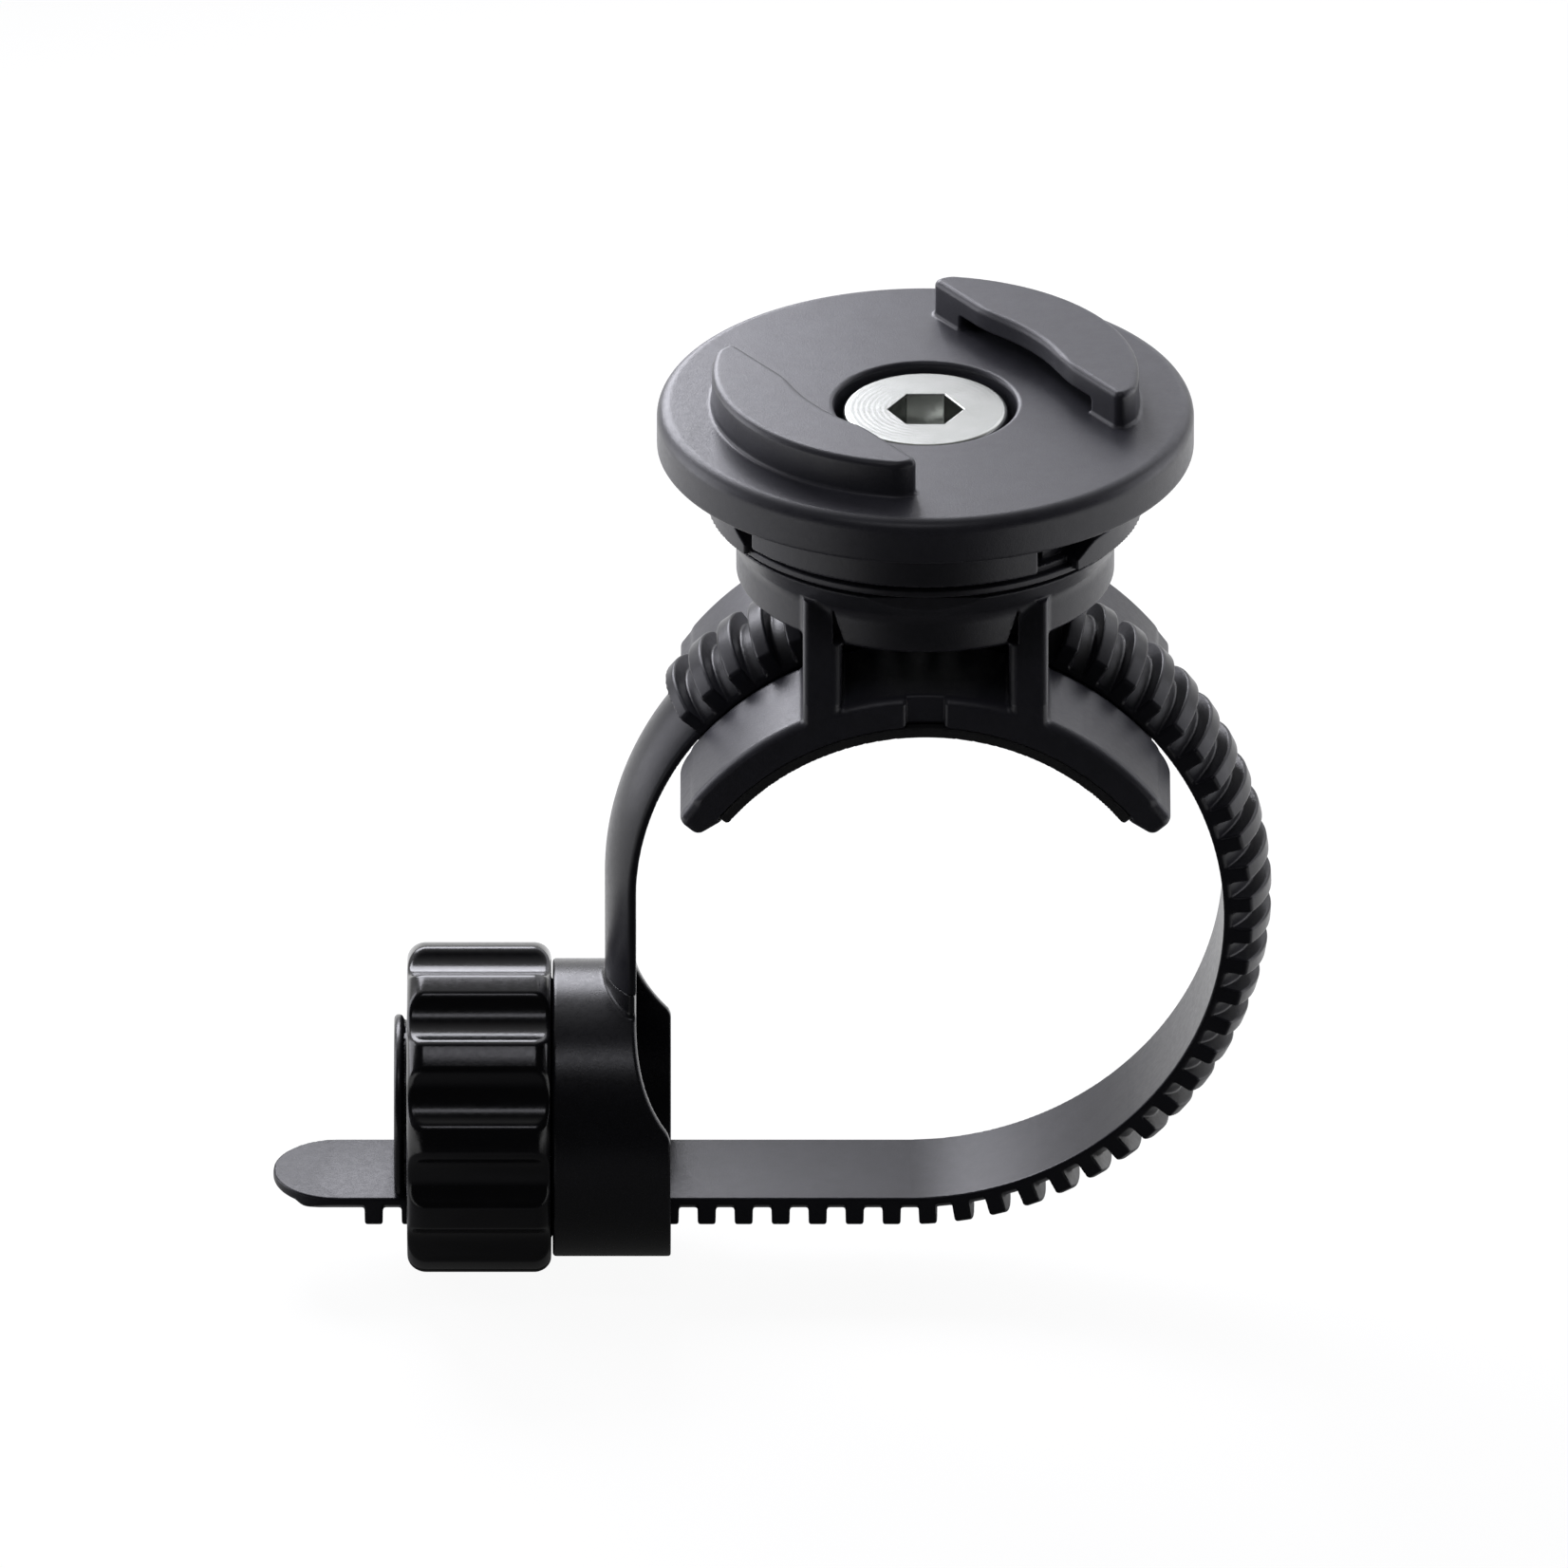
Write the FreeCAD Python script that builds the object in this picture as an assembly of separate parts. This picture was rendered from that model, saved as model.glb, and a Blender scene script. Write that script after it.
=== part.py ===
import FreeCAD, Part
import math
import os

os.makedirs("parts", exist_ok=True)

# Phone handlebar mount. Millimetres, +Z up to the head, +Y along the handlebar.
# The origin is on the handlebar's axis, half way along the saddle.

# ---------------------------------------------------------------- driving dimensions
BAR_R = 15.9                # handlebar the saddle is made for, 31.8 mm across
SADDLE_LENGTH = 25.3        # along the bar

PAD_THICKNESS = 0.7         # rubber liner
PAD_HALF_ANGLE = 52.5       # from straight up, each way
PAD_STOP = 0.35             # height of the saddle's lip at each end of the liner

SADDLE_WALL = 1.8           # between the liner and the strap's channel
WING_TANGENT_ANGLE = 44.4   # degrees above X, where the wing's arc runs straight on
WING_RUN = 4.0              # length of the straight, to the outer corner of the wing's tip
WING_TOE_ANGLE = 31.25      # the tip's lowest corner
WING_TOE_RISE = 0.36        # and its height above the liner's outer face
WING_GAP_ANGLE = 37.5       # where the wing ends under the strap, between its two prongs
TUNNEL_HALF_WIDTH = 4.6
POST_INNER_X = 5.3
POST_THICKNESS = 2.5
POST_TOP_Y = 10.28
POST_NOTCH = 0.57           # width of the wedge-shaped gap between each post and the collar
POST_NOTCH_LEAN = 0.65      # how far the collar's side of it leans away from the post
POST_NOTCH_Y = 9.65         # where the gap's floor lies, from the middle

STRAP_HALF_WIDTH = 4.18
STRAP_AXIS_HEIGHT = 4.42    # knob's axis above the strap's flat face
WEB_CROWN_R = 6.42          # crown of the strap between teeth, about the knob's axis
TOOTH_CROWN_R = 7.5         # crown of the teeth, about the knob's axis
TOOTH_ROOT = 1.22           # length of a tooth along the strap at its root
TOOTH_TIP = 1.10            # and at its tip
TOOTH_PITCH = 2.367         # measured along the pitch line
PITCH_LINE = 2.7            # pitch line above the flat face
LOOP_SLACK = 1.65           # the loop on the right is wider than the wrap by this
TAIL_BEFORE_TEETH = 6.45    # smooth tail, from its tip to the first tooth
WRAP_START = 51.3           # degrees above +X, where the loop's arc meets the wrap
SHANK_START = 141.5         # degrees, where the teeth stop
SHANK_GAP = 0.05            # joint line at each end of the shank

COLLAR_STRAIGHT = 2.45     # height of the collar under its cone
COLLAR_CONE = 1.9          # height of the cone
COLLAR_TOP_R = 13.25
COLLAR_R = 12.05
COLLAR_BOTTOM_R = 11.7
SPIGOT_R = 8.0
SPIGOT_HEIGHT = 1.25

DISC_R = 17.1
DISC_THICKNESS = 2.9
DISC_EDGE_ROUND = 0.9
SKIRT_R = 13.9
SKIRT_WALL = 1.4
SKIRT_HEIGHT = 3.3
SKIRT_ARCS = ((37.0, 121.0), (217.0, 301.0))
HEAD_BOSS_R = 7.6

LUG_TURN = 35.5             # first lug's middle, degrees from +X
LUG_HEIGHT = 2.45
LUG_OUTER_R = 13.6
LUG_INNER_U = 7.8           # straight inner edge, from the axis
LUG_RECESS_HALF = 4.2       # hollow in the inner edge
LUG_RECESS_DEPTH = 0.65
LUG_HALF_LENGTH = 10.2
LUG_FOOT = 3.05             # length of the foot at each end
LUG_UNDERCUT = 1.0          # height of the slot under the lug's plate
LUG_WALL_R = 11.7           # inner face of the wall behind the slot

RING_LIP_R = 13.45
RING_LIP_HEIGHT = 0.5
RING_NECK_R = 12.95
RING_WALL_R = 12.3
RING_WALL = 1.4
RING_WINDOWS = (-59.0, 121.0)   # degrees from +X, where the wall's two openings start
RING_WINDOW_ANGLE = 23.0
RING_STEP_INSET = 6.0           # degrees from an opening's start to its step
RING_STEPS = ((5.0, 2.2), (12.0, 0.8))   # angle and height, tall part and low part
RING_STEP_R = 11.2
RING_BANDS = ((-46.0, 34.0), (134.0, 214.0))   # degrees from +X, between the skirt's arcs
RING_BAND_HEIGHT = 0.9

SCREW_HEAD_R = 5.26         # M6 low head
SCREW_HEAD_HEIGHT = 3.25
SCREW_SINK = 0.4            # top of the head below the disc's face
SCREW_LENGTH = 7.75
SCREW_SHANK_R = 2.97
SCREW_HOLE_R = 3.2
HEX_ACROSS_FLATS = 4.0
HEX_DEPTH = 2.3
SINK_R = 5.83               # counterbore for the head
NUT_ACROSS_FLATS = 10.0     # thin M6 nut
NUT_THICKNESS = 3.2
NUT_COVER = 0.55            # plastic over the nut, up to the collar's top

KNOB_LENGTH = 9.2
KNOB_WALL = 2.2             # between the thread's root and the floor of a scallop
KNOB_RIB_HEIGHT = 0.87
KNOB_RIBS = 12
KNOB_SCALLOP_R = 2.5
KNOB_RIB_ROUND = 0.25
KNOB_END_ROUND = 0.9
THREAD_CREST = 0.57         # width of the knob's thread at its crest
THREAD_ROOT = 0.66          # and at its root
NECK_WALL = 0.6
SNAP_HEIGHT = 0.55
SNAP_LENGTH = 1.0

BUCKLE_LENGTH = 7.35
BUCKLE_OVERHANG = 2.2       # of the buckle, to the right of the strap's flat face
BUCKLE_WALL = 1.4
BUCKLE_RIGHT_DEPTH = 3.55   # from the buckle's right edge to its wall
BUCKLE_SHELL = 0.64
BUCKLE_LIP = 0.8            # length of the lip that the knob snaps behind
SCOOP_R = 9.0               # hollow beside the bar
SCOOP_DROP = 1.25           # its centre below the top of the buckle
STUB_HEIGHT = 0.56          # of the buckle's stub, from the top of the buckle to the shank
CORE_R = 5.6
CORE_LIP_R = 6.06
CORE_LIP_LENGTH = 0.6
CORE_PROUD = 0.84           # core beyond the knob's left face
TEETH_PROUD = 2.15          # first tooth beyond the knob's left face

# ---------------------------------------------------------------- clearances
RUNNING = 0.05              # radial, shaft in bore
SLIDING = 0.10              # strap against the buckle's core
JOINT = 0.3                 # between pieces that turn past each other
SEAT = 0.05                 # under the screw's head, and under the strap
TOOTH_ROOM = 0.07           # between the teeth and the collar over them
THREAD_ROOM = 0.1           # between the teeth's crown and the knob's thread root
WEB_ROOM = 0.13             # between the strap's web and the knob's thread crest
NECK_ROOM = 0.1             # round the knob's neck
SNAP_ROOM = 0.15            # round the knob's snap rim

# ---------------------------------------------------------------- derived
HALF_LENGTH = SADDLE_LENGTH / 2
PAD_OUTER_R = BAR_R + PAD_THICKNESS
CHANNEL_R = PAD_OUTER_R + SADDLE_WALL
WRAP_R = CHANNEL_R + SEAT           # strap's flat face round the saddle and down the left side
LOOP_R = WRAP_R + LOOP_SLACK        # and round the right side
SADDLE_OUTER_R = CHANNEL_R + 0.2
NUT_POCKET_FLATS = NUT_ACROSS_FLATS + 2 * RUNNING

COLLAR_BOTTOM = WRAP_R + TOOTH_CROWN_R - STRAP_AXIS_HEIGHT + TOOTH_ROOM
COLLAR_CONE_BOTTOM = COLLAR_BOTTOM + COLLAR_STRAIGHT
COLLAR_TOP = COLLAR_CONE_BOTTOM + COLLAR_CONE
SPIGOT_TOP = COLLAR_TOP + SPIGOT_HEIGHT
NUT_TOP = COLLAR_TOP - NUT_COVER
NUT_BOTTOM = NUT_TOP - NUT_THICKNESS
RING_BOTTOM = COLLAR_TOP + JOINT
SKIRT_BOTTOM = SPIGOT_TOP
BOSS_BOTTOM = SPIGOT_TOP + JOINT
DISC_BOTTOM = SKIRT_BOTTOM + SKIRT_HEIGHT
DISC_TOP = DISC_BOTTOM + DISC_THICKNESS
SCREW_HEAD_TOP = DISC_TOP - SCREW_SINK
SCREW_SEAT = SCREW_HEAD_TOP - SCREW_HEAD_HEIGHT
SINK_FLOOR = SCREW_SEAT - SEAT

LOOP_OFFSET = LOOP_R - WRAP_R
LOOP_X = -LOOP_OFFSET * math.cos(math.radians(WRAP_START))
LOOP_Z = -LOOP_OFFSET * math.sin(math.radians(WRAP_START))
STRAP_FLAT_Z = LOOP_Z - LOOP_R
KNOB_Z = STRAP_FLAT_Z + STRAP_AXIS_HEIGHT

THREAD_MINOR_R = WEB_CROWN_R + WEB_ROOM
THREAD_MAJOR_R = TOOTH_CROWN_R + THREAD_ROOM
NECK_R = THREAD_MAJOR_R + NECK_WALL
SNAP_R = NECK_R + SNAP_HEIGHT
BUCKLE_LIP_R = NECK_R + NECK_ROOM
BUCKLE_BORE_R = SNAP_R + SNAP_ROOM
BUCKLE_R = BUCKLE_BORE_R + BUCKLE_SHELL
KNOB_FLOOR_R = THREAD_MAJOR_R + KNOB_WALL
KNOB_R = KNOB_FLOOR_R + KNOB_RIB_HEIGHT

BUCKLE_RIGHT = BUCKLE_OVERHANG - WRAP_R
BUCKLE_LEFT = BUCKLE_RIGHT - BUCKLE_LENGTH
BUCKLE_WALL_RIGHT = BUCKLE_RIGHT - BUCKLE_RIGHT_DEPTH
BUCKLE_WALL_LEFT = BUCKLE_WALL_RIGHT - BUCKLE_WALL
KNOB_RIGHT = BUCKLE_LEFT - JOINT
KNOB_LEFT = KNOB_RIGHT - KNOB_LENGTH
CORE_LEFT = KNOB_LEFT - CORE_PROUD
FIRST_TOOTH_X = KNOB_LEFT - TEETH_PROUD
TAIL_TIP_X = FIRST_TOOTH_X - TAIL_BEFORE_TEETH
CORE_FLAT = STRAP_AXIS_HEIGHT - SLIDING
SCOOP_X = SCOOP_R - WRAP_R
SCOOP_Z = KNOB_Z + BUCKLE_R - SCOOP_DROP
SHANK_END_Z = KNOB_Z + BUCKLE_R + STUB_HEIGHT

STRAIGHT_PATH = LOOP_X - FIRST_TOOTH_X
LOOP_PATH = (LOOP_R + PITCH_LINE) * math.radians(90 + WRAP_START)
WRAP_PATH = (WRAP_R + PITCH_LINE) * math.radians(SHANK_START - WRAP_START)
TOOTH_COUNT = int((STRAIGHT_PATH + LOOP_PATH + WRAP_PATH - TOOTH_ROOT / 2) / TOOTH_PITCH) + 1

ORIGIN = FreeCAD.Vector(0, 0, 0)
X_AXIS = FreeCAD.Vector(1, 0, 0)
Y_AXIS = FreeCAD.Vector(0, 1, 0)
Z_AXIS = FreeCAD.Vector(0, 0, 1)


# ---------------------------------------------------------------- helpers
def vec(x, y, z):
    return FreeCAD.Vector(x, y, z)


def face_of(points):
    """Flat face bounded by a closed polygon through the points."""
    return Part.Face(Part.makePolygon(points + points[:1]))


def turned(profile):
    """Solid of revolution about Z from (radius, z) pairs."""
    face = face_of([vec(r, 0, z) for r, z in profile])
    return face.revolve(ORIGIN, Z_AXIS, 360)


def disc(radius, z_low, z_high):
    return Part.makeCylinder(radius, z_high - z_low, vec(0, 0, z_low))


def block(x_low, x_high, y_low, y_high, z_low, z_high):
    return Part.makeBox(x_high - x_low, y_high - y_low, z_high - z_low, vec(x_low, y_low, z_low))


def sector(r_in, r_out, z_low, z_high, start, end):
    """Part of a ring about Z between two angles in degrees from +X."""
    outer = Part.makeCylinder(r_out, z_high - z_low, vec(0, 0, z_low), Z_AXIS, end - start)
    piece = outer.cut(disc(r_in, z_low, z_high))
    piece.rotate(ORIGIN, Z_AXIS, start)
    return piece


def hexagon(across_flats, z_low, z_high):
    """Hexagonal prism about Z with two corners on the X axis."""
    corner_r = across_flats / 2 / math.cos(math.radians(30))
    corners = [math.radians(60 * i) for i in range(6)]
    face = face_of([vec(corner_r * math.cos(a), corner_r * math.sin(a), z_low) for a in corners])
    return face.extrude(vec(0, 0, z_high - z_low))


def rod(radius, x_low, x_high):
    """Cylinder on the knob's axis."""
    return Part.makeCylinder(radius, x_high - x_low, vec(x_low, 0, KNOB_Z), X_AXIS)


def fuse_all(pieces):
    joined = pieces[0].multiFuse(pieces[1:])
    return joined.removeSplitter()


def rounded(shape, radius, wanted):
    """Shape with the edges that wanted() accepts rounded."""
    edges = [edge for edge in shape.Edges if wanted(edge)]
    return shape.makeFillet(radius, edges)


def level(edge, z):
    """True when the whole edge lies at height z."""
    box = edge.BoundBox
    return abs(box.ZMin - z) < 1e-4 and abs(box.ZMax - z) < 1e-4


def mirrored(shape, normal):
    return shape.mirror(ORIGIN, normal)


def save(name, shape):
    solids = shape.Solids
    if len(solids) != 1 or not shape.isValid():
        raise ValueError(name + " is not one valid solid")
    solids[0].exportStep("parts/" + name + ".step")
    print(name, round(solids[0].Volume, 2))


# ---------------------------------------------------------------- head
def make_lug():
    """One twist-lock lug, its middle on +X, standing on the disc."""
    top = DISC_TOP + LUG_HEIGHT
    body = disc(LUG_OUTER_R, DISC_TOP, top)
    recess_r = (LUG_RECESS_HALF ** 2 + LUG_RECESS_DEPTH ** 2) / (2 * LUG_RECESS_DEPTH)
    recess_u = LUG_INNER_U + LUG_RECESS_DEPTH - recess_r
    body = body.cut(Part.makeCylinder(recess_r, LUG_HEIGHT, vec(recess_u, 0, DISC_TOP)))
    body = body.common(block(LUG_INNER_U, DISC_R, -LUG_HALF_LENGTH, LUG_HALF_LENGTH, DISC_TOP, top))
    upright = LUG_HEIGHT * 0.9
    middle_third = LUG_HALF_LENGTH * 0.7
    body = rounded(body, 0.55, lambda e: e.BoundBox.ZLength > upright and abs(e.BoundBox.YMin) > middle_third)
    body = rounded(body, 0.4, lambda e: e.BoundBox.ZLength > upright and e.BoundBox.XMin < LUG_INNER_U + 0.1
                   and abs(abs(e.BoundBox.YMin) - LUG_RECESS_HALF) < 0.1 and e.BoundBox.YLength < 0.1)
    body = rounded(body, 0.35, lambda e: level(e, top))
    slot_half = LUG_HALF_LENGTH - LUG_FOOT
    slot = disc(LUG_WALL_R, DISC_TOP, DISC_TOP + LUG_UNDERCUT)
    slot = slot.common(block(0, DISC_R, -slot_half, slot_half, DISC_TOP, DISC_TOP + LUG_UNDERCUT))
    return body.cut(slot)


def make_head_plate():
    plate = turned([(0, DISC_BOTTOM), (DISC_R, DISC_BOTTOM), (DISC_R, DISC_TOP), (0, DISC_TOP)])
    plate = rounded(plate, DISC_EDGE_ROUND, lambda e: level(e, DISC_TOP))
    pieces = [plate, disc(HEAD_BOSS_R, BOSS_BOTTOM, DISC_BOTTOM)]
    for start, end in SKIRT_ARCS:
        pieces.append(sector(SKIRT_R - SKIRT_WALL, SKIRT_R, SKIRT_BOTTOM, DISC_BOTTOM, start, end))
    for half_turn in (0, 180):
        lug = make_lug()
        lug.rotate(ORIGIN, Z_AXIS, LUG_TURN + half_turn)
        pieces.append(lug)
    head = fuse_all(pieces)
    sink = turned([(0, SINK_FLOOR), (SINK_R, SINK_FLOOR), (SINK_R, DISC_TOP - 0.3),
                   (SINK_R + 0.3, DISC_TOP), (SINK_R + 0.3, DISC_TOP + 1), (0, DISC_TOP + 1)])
    head = head.cut(sink)
    return head.cut(disc(SCREW_HOLE_R, BOSS_BOTTOM, SINK_FLOOR))


def make_index_ring():
    """Ring clamped under the head: a bearing flange and a wall that centres it in the skirt."""
    bore = SPIGOT_R + RUNNING
    lip_top = RING_BOTTOM + RING_LIP_HEIGHT
    ring = turned([(bore, RING_BOTTOM), (RING_LIP_R - 0.2, RING_BOTTOM), (RING_LIP_R, RING_BOTTOM + 0.2),
                   (RING_LIP_R, lip_top), (RING_NECK_R, lip_top + 0.1),
                   (RING_NECK_R, SKIRT_BOTTOM), (bore, SKIRT_BOTTOM)])
    wall = sector(RING_WALL_R - RING_WALL, RING_WALL_R, SKIRT_BOTTOM, DISC_BOTTOM, 0, 360)
    pieces = [ring]
    for start, end in RING_BANDS:
        band_top = SKIRT_BOTTOM + RING_BAND_HEIGHT
        pieces.append(sector(RING_WALL_R - 0.2, SKIRT_R, SKIRT_BOTTOM, band_top, start, end))
    for start in RING_WINDOWS:
        end = start + RING_WINDOW_ANGLE
        wall = wall.cut(sector(RING_WALL_R - 2, RING_WALL_R + 1, SKIRT_BOTTOM, DISC_BOTTOM, start, end))
        step = start + RING_STEP_INSET
        for angle, height in RING_STEPS:
            top = SKIRT_BOTTOM + height
            pieces.append(sector(RING_STEP_R, RING_WALL_R, SKIRT_BOTTOM, top, step, step + angle))
    return fuse_all(pieces + [wall])


def make_head_screw():
    head_chamfer = 0.35
    tip = SCREW_SEAT - SCREW_LENGTH
    screw = turned([
        (0, tip), (SCREW_SHANK_R - 0.6, tip), (SCREW_SHANK_R, tip + 0.6), (SCREW_SHANK_R, SCREW_SEAT),
        (SCREW_HEAD_R - 0.15, SCREW_SEAT), (SCREW_HEAD_R, SCREW_SEAT + 0.15),
        (SCREW_HEAD_R, SCREW_HEAD_TOP - head_chamfer),
        (SCREW_HEAD_R - head_chamfer, SCREW_HEAD_TOP), (0, SCREW_HEAD_TOP)])
    floor = SCREW_HEAD_TOP - HEX_DEPTH
    screw = screw.cut(hexagon(HEX_ACROSS_FLATS, floor, SCREW_HEAD_TOP))
    flat_r = HEX_ACROSS_FLATS / 2
    drill = turned([(0, floor - 0.5), (flat_r, floor), (0, floor)])
    lead_in = turned([(0, SCREW_HEAD_TOP - 0.3), (flat_r, SCREW_HEAD_TOP - 0.3),
                      (flat_r + 0.52, SCREW_HEAD_TOP), (0, SCREW_HEAD_TOP)])
    return screw.cut(drill).cut(lead_in)


def make_captive_nut():
    flat_r = NUT_ACROSS_FLATS / 2
    corner_r = flat_r / math.cos(math.radians(30))
    fall = (corner_r - flat_r) * math.tan(math.radians(30))
    bore = SCREW_SHANK_R + RUNNING
    chamfered = turned([(bore, NUT_BOTTOM + 0.3), (bore + 0.3, NUT_BOTTOM), (flat_r, NUT_BOTTOM),
                        (corner_r, NUT_BOTTOM + fall), (corner_r, NUT_TOP - fall), (flat_r, NUT_TOP),
                        (bore + 0.3, NUT_TOP), (bore, NUT_TOP - 0.3)])
    return hexagon(NUT_ACROSS_FLATS, NUT_BOTTOM, NUT_TOP).common(chamfered)


# ---------------------------------------------------------------- saddle
def on_arc(radius, degrees):
    """Point in the XZ plane at an angle above +X."""
    a = math.radians(degrees)
    return vec(radius * math.cos(a), 0, radius * math.sin(a))


def make_wings():
    """The saddle's arched body, both wings."""
    pad_end = 90 - PAD_HALF_ANGLE
    start = on_arc(SADDLE_OUTER_R, WING_TANGENT_ANGLE)
    corner = start + on_arc(WING_RUN, WING_TANGENT_ANGLE - 90)
    toe = on_arc(PAD_OUTER_R + WING_TOE_RISE, WING_TOE_ANGLE)
    lip = on_arc(PAD_OUTER_R - PAD_STOP, pad_end - 0.5)
    stop = on_arc(PAD_OUTER_R, pad_end - 0.2)

    def flipped(p):
        return vec(-p.x, p.y, p.z)

    right = [start, corner, toe, lip, stop]
    left = [flipped(p) for p in reversed(right)]
    edges = [Part.makeLine(p, q) for p, q in zip(right, right[1:])]
    edges.append(Part.Arc(stop, vec(0, 0, PAD_OUTER_R), left[0]).toShape())
    edges += [Part.makeLine(p, q) for p, q in zip(left, left[1:])]
    edges.append(Part.Arc(left[-1], vec(0, 0, SADDLE_OUTER_R), start).toShape())
    face = Part.Face(Part.Wire(edges))
    face.translate(vec(0, -HALF_LENGTH, 0))
    body = face.extrude(vec(0, SADDLE_LENGTH, 0))

    def tip_edge(edge):
        box = edge.BoundBox
        middle = edge.CenterOfMass
        along = box.YLength > SADDLE_LENGTH * 0.9
        off_lip = math.hypot(middle.x, middle.z) > PAD_OUTER_R + 0.1
        return along and off_lip and middle.z < abs(middle.x) * 0.8

    body = rounded(body, 0.4, tip_edge)

    def rim(edge):
        box = edge.BoundBox
        outside = min(math.hypot(v.X, v.Z) for v in edge.Vertexes) > PAD_OUTER_R + WING_TOE_RISE / 2
        return outside and box.YLength < 1e-4 and abs(abs(box.YMin) - HALF_LENGTH) < 1e-4

    return rounded(body, 0.5, rim)


def make_post(x_low):
    """One leaning post, on the side of -Y."""
    outline = [vec(x_low, -TUNNEL_HALF_WIDTH, 0), vec(x_low, -HALF_LENGTH, 0),
               vec(x_low, -HALF_LENGTH, CHANNEL_R - 0.2), vec(x_low, -POST_TOP_Y, COLLAR_CONE_BOTTOM),
               vec(x_low, -TUNNEL_HALF_WIDTH, COLLAR_CONE_BOTTOM)]
    post = face_of(outline).extrude(vec(POST_THICKNESS, 0, 0))
    drum = Part.makeCylinder(PAD_OUTER_R + 0.3, SADDLE_LENGTH, vec(0, -HALF_LENGTH, 0), Y_AXIS)
    return post.cut(drum)


def make_saddle_base():
    collar = turned([(0, COLLAR_BOTTOM), (COLLAR_BOTTOM_R, COLLAR_BOTTOM), (COLLAR_R, COLLAR_BOTTOM + 0.4),
                     (COLLAR_R, COLLAR_CONE_BOTTOM), (COLLAR_TOP_R, COLLAR_TOP), (SPIGOT_R, COLLAR_TOP),
                     (SPIGOT_R, SPIGOT_TOP), (0, SPIGOT_TOP)])
    pieces = [make_wings(), collar]
    for x_low in (POST_INNER_X, -POST_INNER_X - POST_THICKNESS):
        post = make_post(x_low)
        pieces.append(post)
        pieces.append(mirrored(post, Y_AXIS))
    body = fuse_all(pieces)

    notch_x = POST_INNER_X + POST_NOTCH
    wedge = face_of([vec(notch_x, -HALF_LENGTH - 1, COLLAR_CONE_BOTTOM),
                     vec(notch_x, -HALF_LENGTH - 1, COLLAR_BOTTOM + 0.25),
                     vec(notch_x - 0.1 - POST_NOTCH_LEAN, -HALF_LENGTH - 1, COLLAR_BOTTOM - 0.05),
                     vec(notch_x - 0.1, -HALF_LENGTH - 1, COLLAR_CONE_BOTTOM)])
    wedge = wedge.extrude(vec(0, HALF_LENGTH + 1 - POST_NOTCH_Y, 0))
    for side in (wedge, mirrored(wedge, X_AXIS)):
        body = body.cut(side)
        body = body.cut(mirrored(side, Y_AXIS))

    reach = 2 * WRAP_R
    w = TUNNEL_HALF_WIDTH
    trough = block(-reach, reach, -w, w, 0, COLLAR_BOTTOM)
    trough = trough.cut(Part.makeCylinder(CHANNEL_R, 2 * w, vec(0, -w, 0), Y_AXIS))
    body = body.cut(trough)
    gap_top = on_arc(CHANNEL_R, WING_GAP_ANGLE).z
    body = body.cut(block(-reach, reach, -w, w, 0, gap_top))

    notch = block(-1.2, 1.2, -HALF_LENGTH - 1, -HALF_LENGTH + 0.5, PAD_OUTER_R - 0.2, SADDLE_OUTER_R + 1)
    body = body.cut(notch).cut(mirrored(notch, Y_AXIS))
    body = body.cut(disc(SCREW_HOLE_R, NUT_TOP, SPIGOT_TOP))
    return body.cut(hexagon(NUT_POCKET_FLATS, COLLAR_BOTTOM - 1, NUT_TOP))


def make_bar_pad():
    ring = Part.makeCylinder(PAD_OUTER_R, SADDLE_LENGTH, vec(0, -HALF_LENGTH, 0), Y_AXIS)
    ring = ring.cut(Part.makeCylinder(BAR_R, SADDLE_LENGTH, vec(0, -HALF_LENGTH, 0), Y_AXIS))
    reach = 2 * PAD_OUTER_R
    a = math.radians(PAD_HALF_ANGLE)
    x = reach * math.sin(a)
    z = reach * math.cos(a)
    fan = face_of([vec(0, -HALF_LENGTH, 0), vec(x, -HALF_LENGTH, z),
                   vec(0, -HALF_LENGTH, reach * 2), vec(-x, -HALF_LENGTH, z)])
    pad = ring.common(fan.extrude(vec(0, SADDLE_LENGTH, 0)))
    return pad


# ---------------------------------------------------------------- strap
def crown_section(crown_r):
    """Strap section in the YZ plane: flat face on z = 0, crown towards +z, about the knob's axis."""
    w = STRAP_HALF_WIDTH
    centre = -STRAP_AXIS_HEIGHT
    crown_edge = math.sqrt(crown_r ** 2 - w ** 2) + centre
    edges = [
        Part.makeLine(vec(0, -w, 0), vec(0, w, 0)),
        Part.makeLine(vec(0, w, 0), vec(0, w, crown_edge)),
        Part.Arc(vec(0, w, crown_edge), vec(0, 0, crown_r + centre), vec(0, -w, crown_edge)).toShape(),
        Part.makeLine(vec(0, -w, crown_edge), vec(0, -w, 0))]
    return Part.Face(Part.Wire(edges))


def swept_arc(section, centre_x, centre_z, radius, start, end):
    """Section carried round an arc about Y, angles in degrees above +X."""
    placed = section.copy()
    placed.translate(vec(0, 0, radius))
    placed.rotate(ORIGIN, Y_AXIS, 90 - start)
    solid = placed.revolve(ORIGIN, Y_AXIS, start - end)
    solid.translate(vec(centre_x, 0, centre_z))
    return solid


def tooth_blank():
    """One tooth at x = 0 on a flat face at z = 0, crown towards +z."""
    top = TOOTH_CROWN_R - STRAP_AXIS_HEIGHT
    bottom = 0.2
    root = TOOTH_ROOT / 2
    tip = TOOTH_TIP / 2
    w = STRAP_HALF_WIDTH
    side = face_of([vec(-root, -w, bottom), vec(root, -w, bottom),
                    vec(tip, -w, top + 0.1), vec(-tip, -w, top + 0.1)])
    wedge = side.extrude(vec(0, 2 * w, 0))
    length = Part.makeCylinder(TOOTH_CROWN_R, 4, vec(-2, 0, -STRAP_AXIS_HEIGHT), X_AXIS)
    return wedge.common(length)


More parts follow.
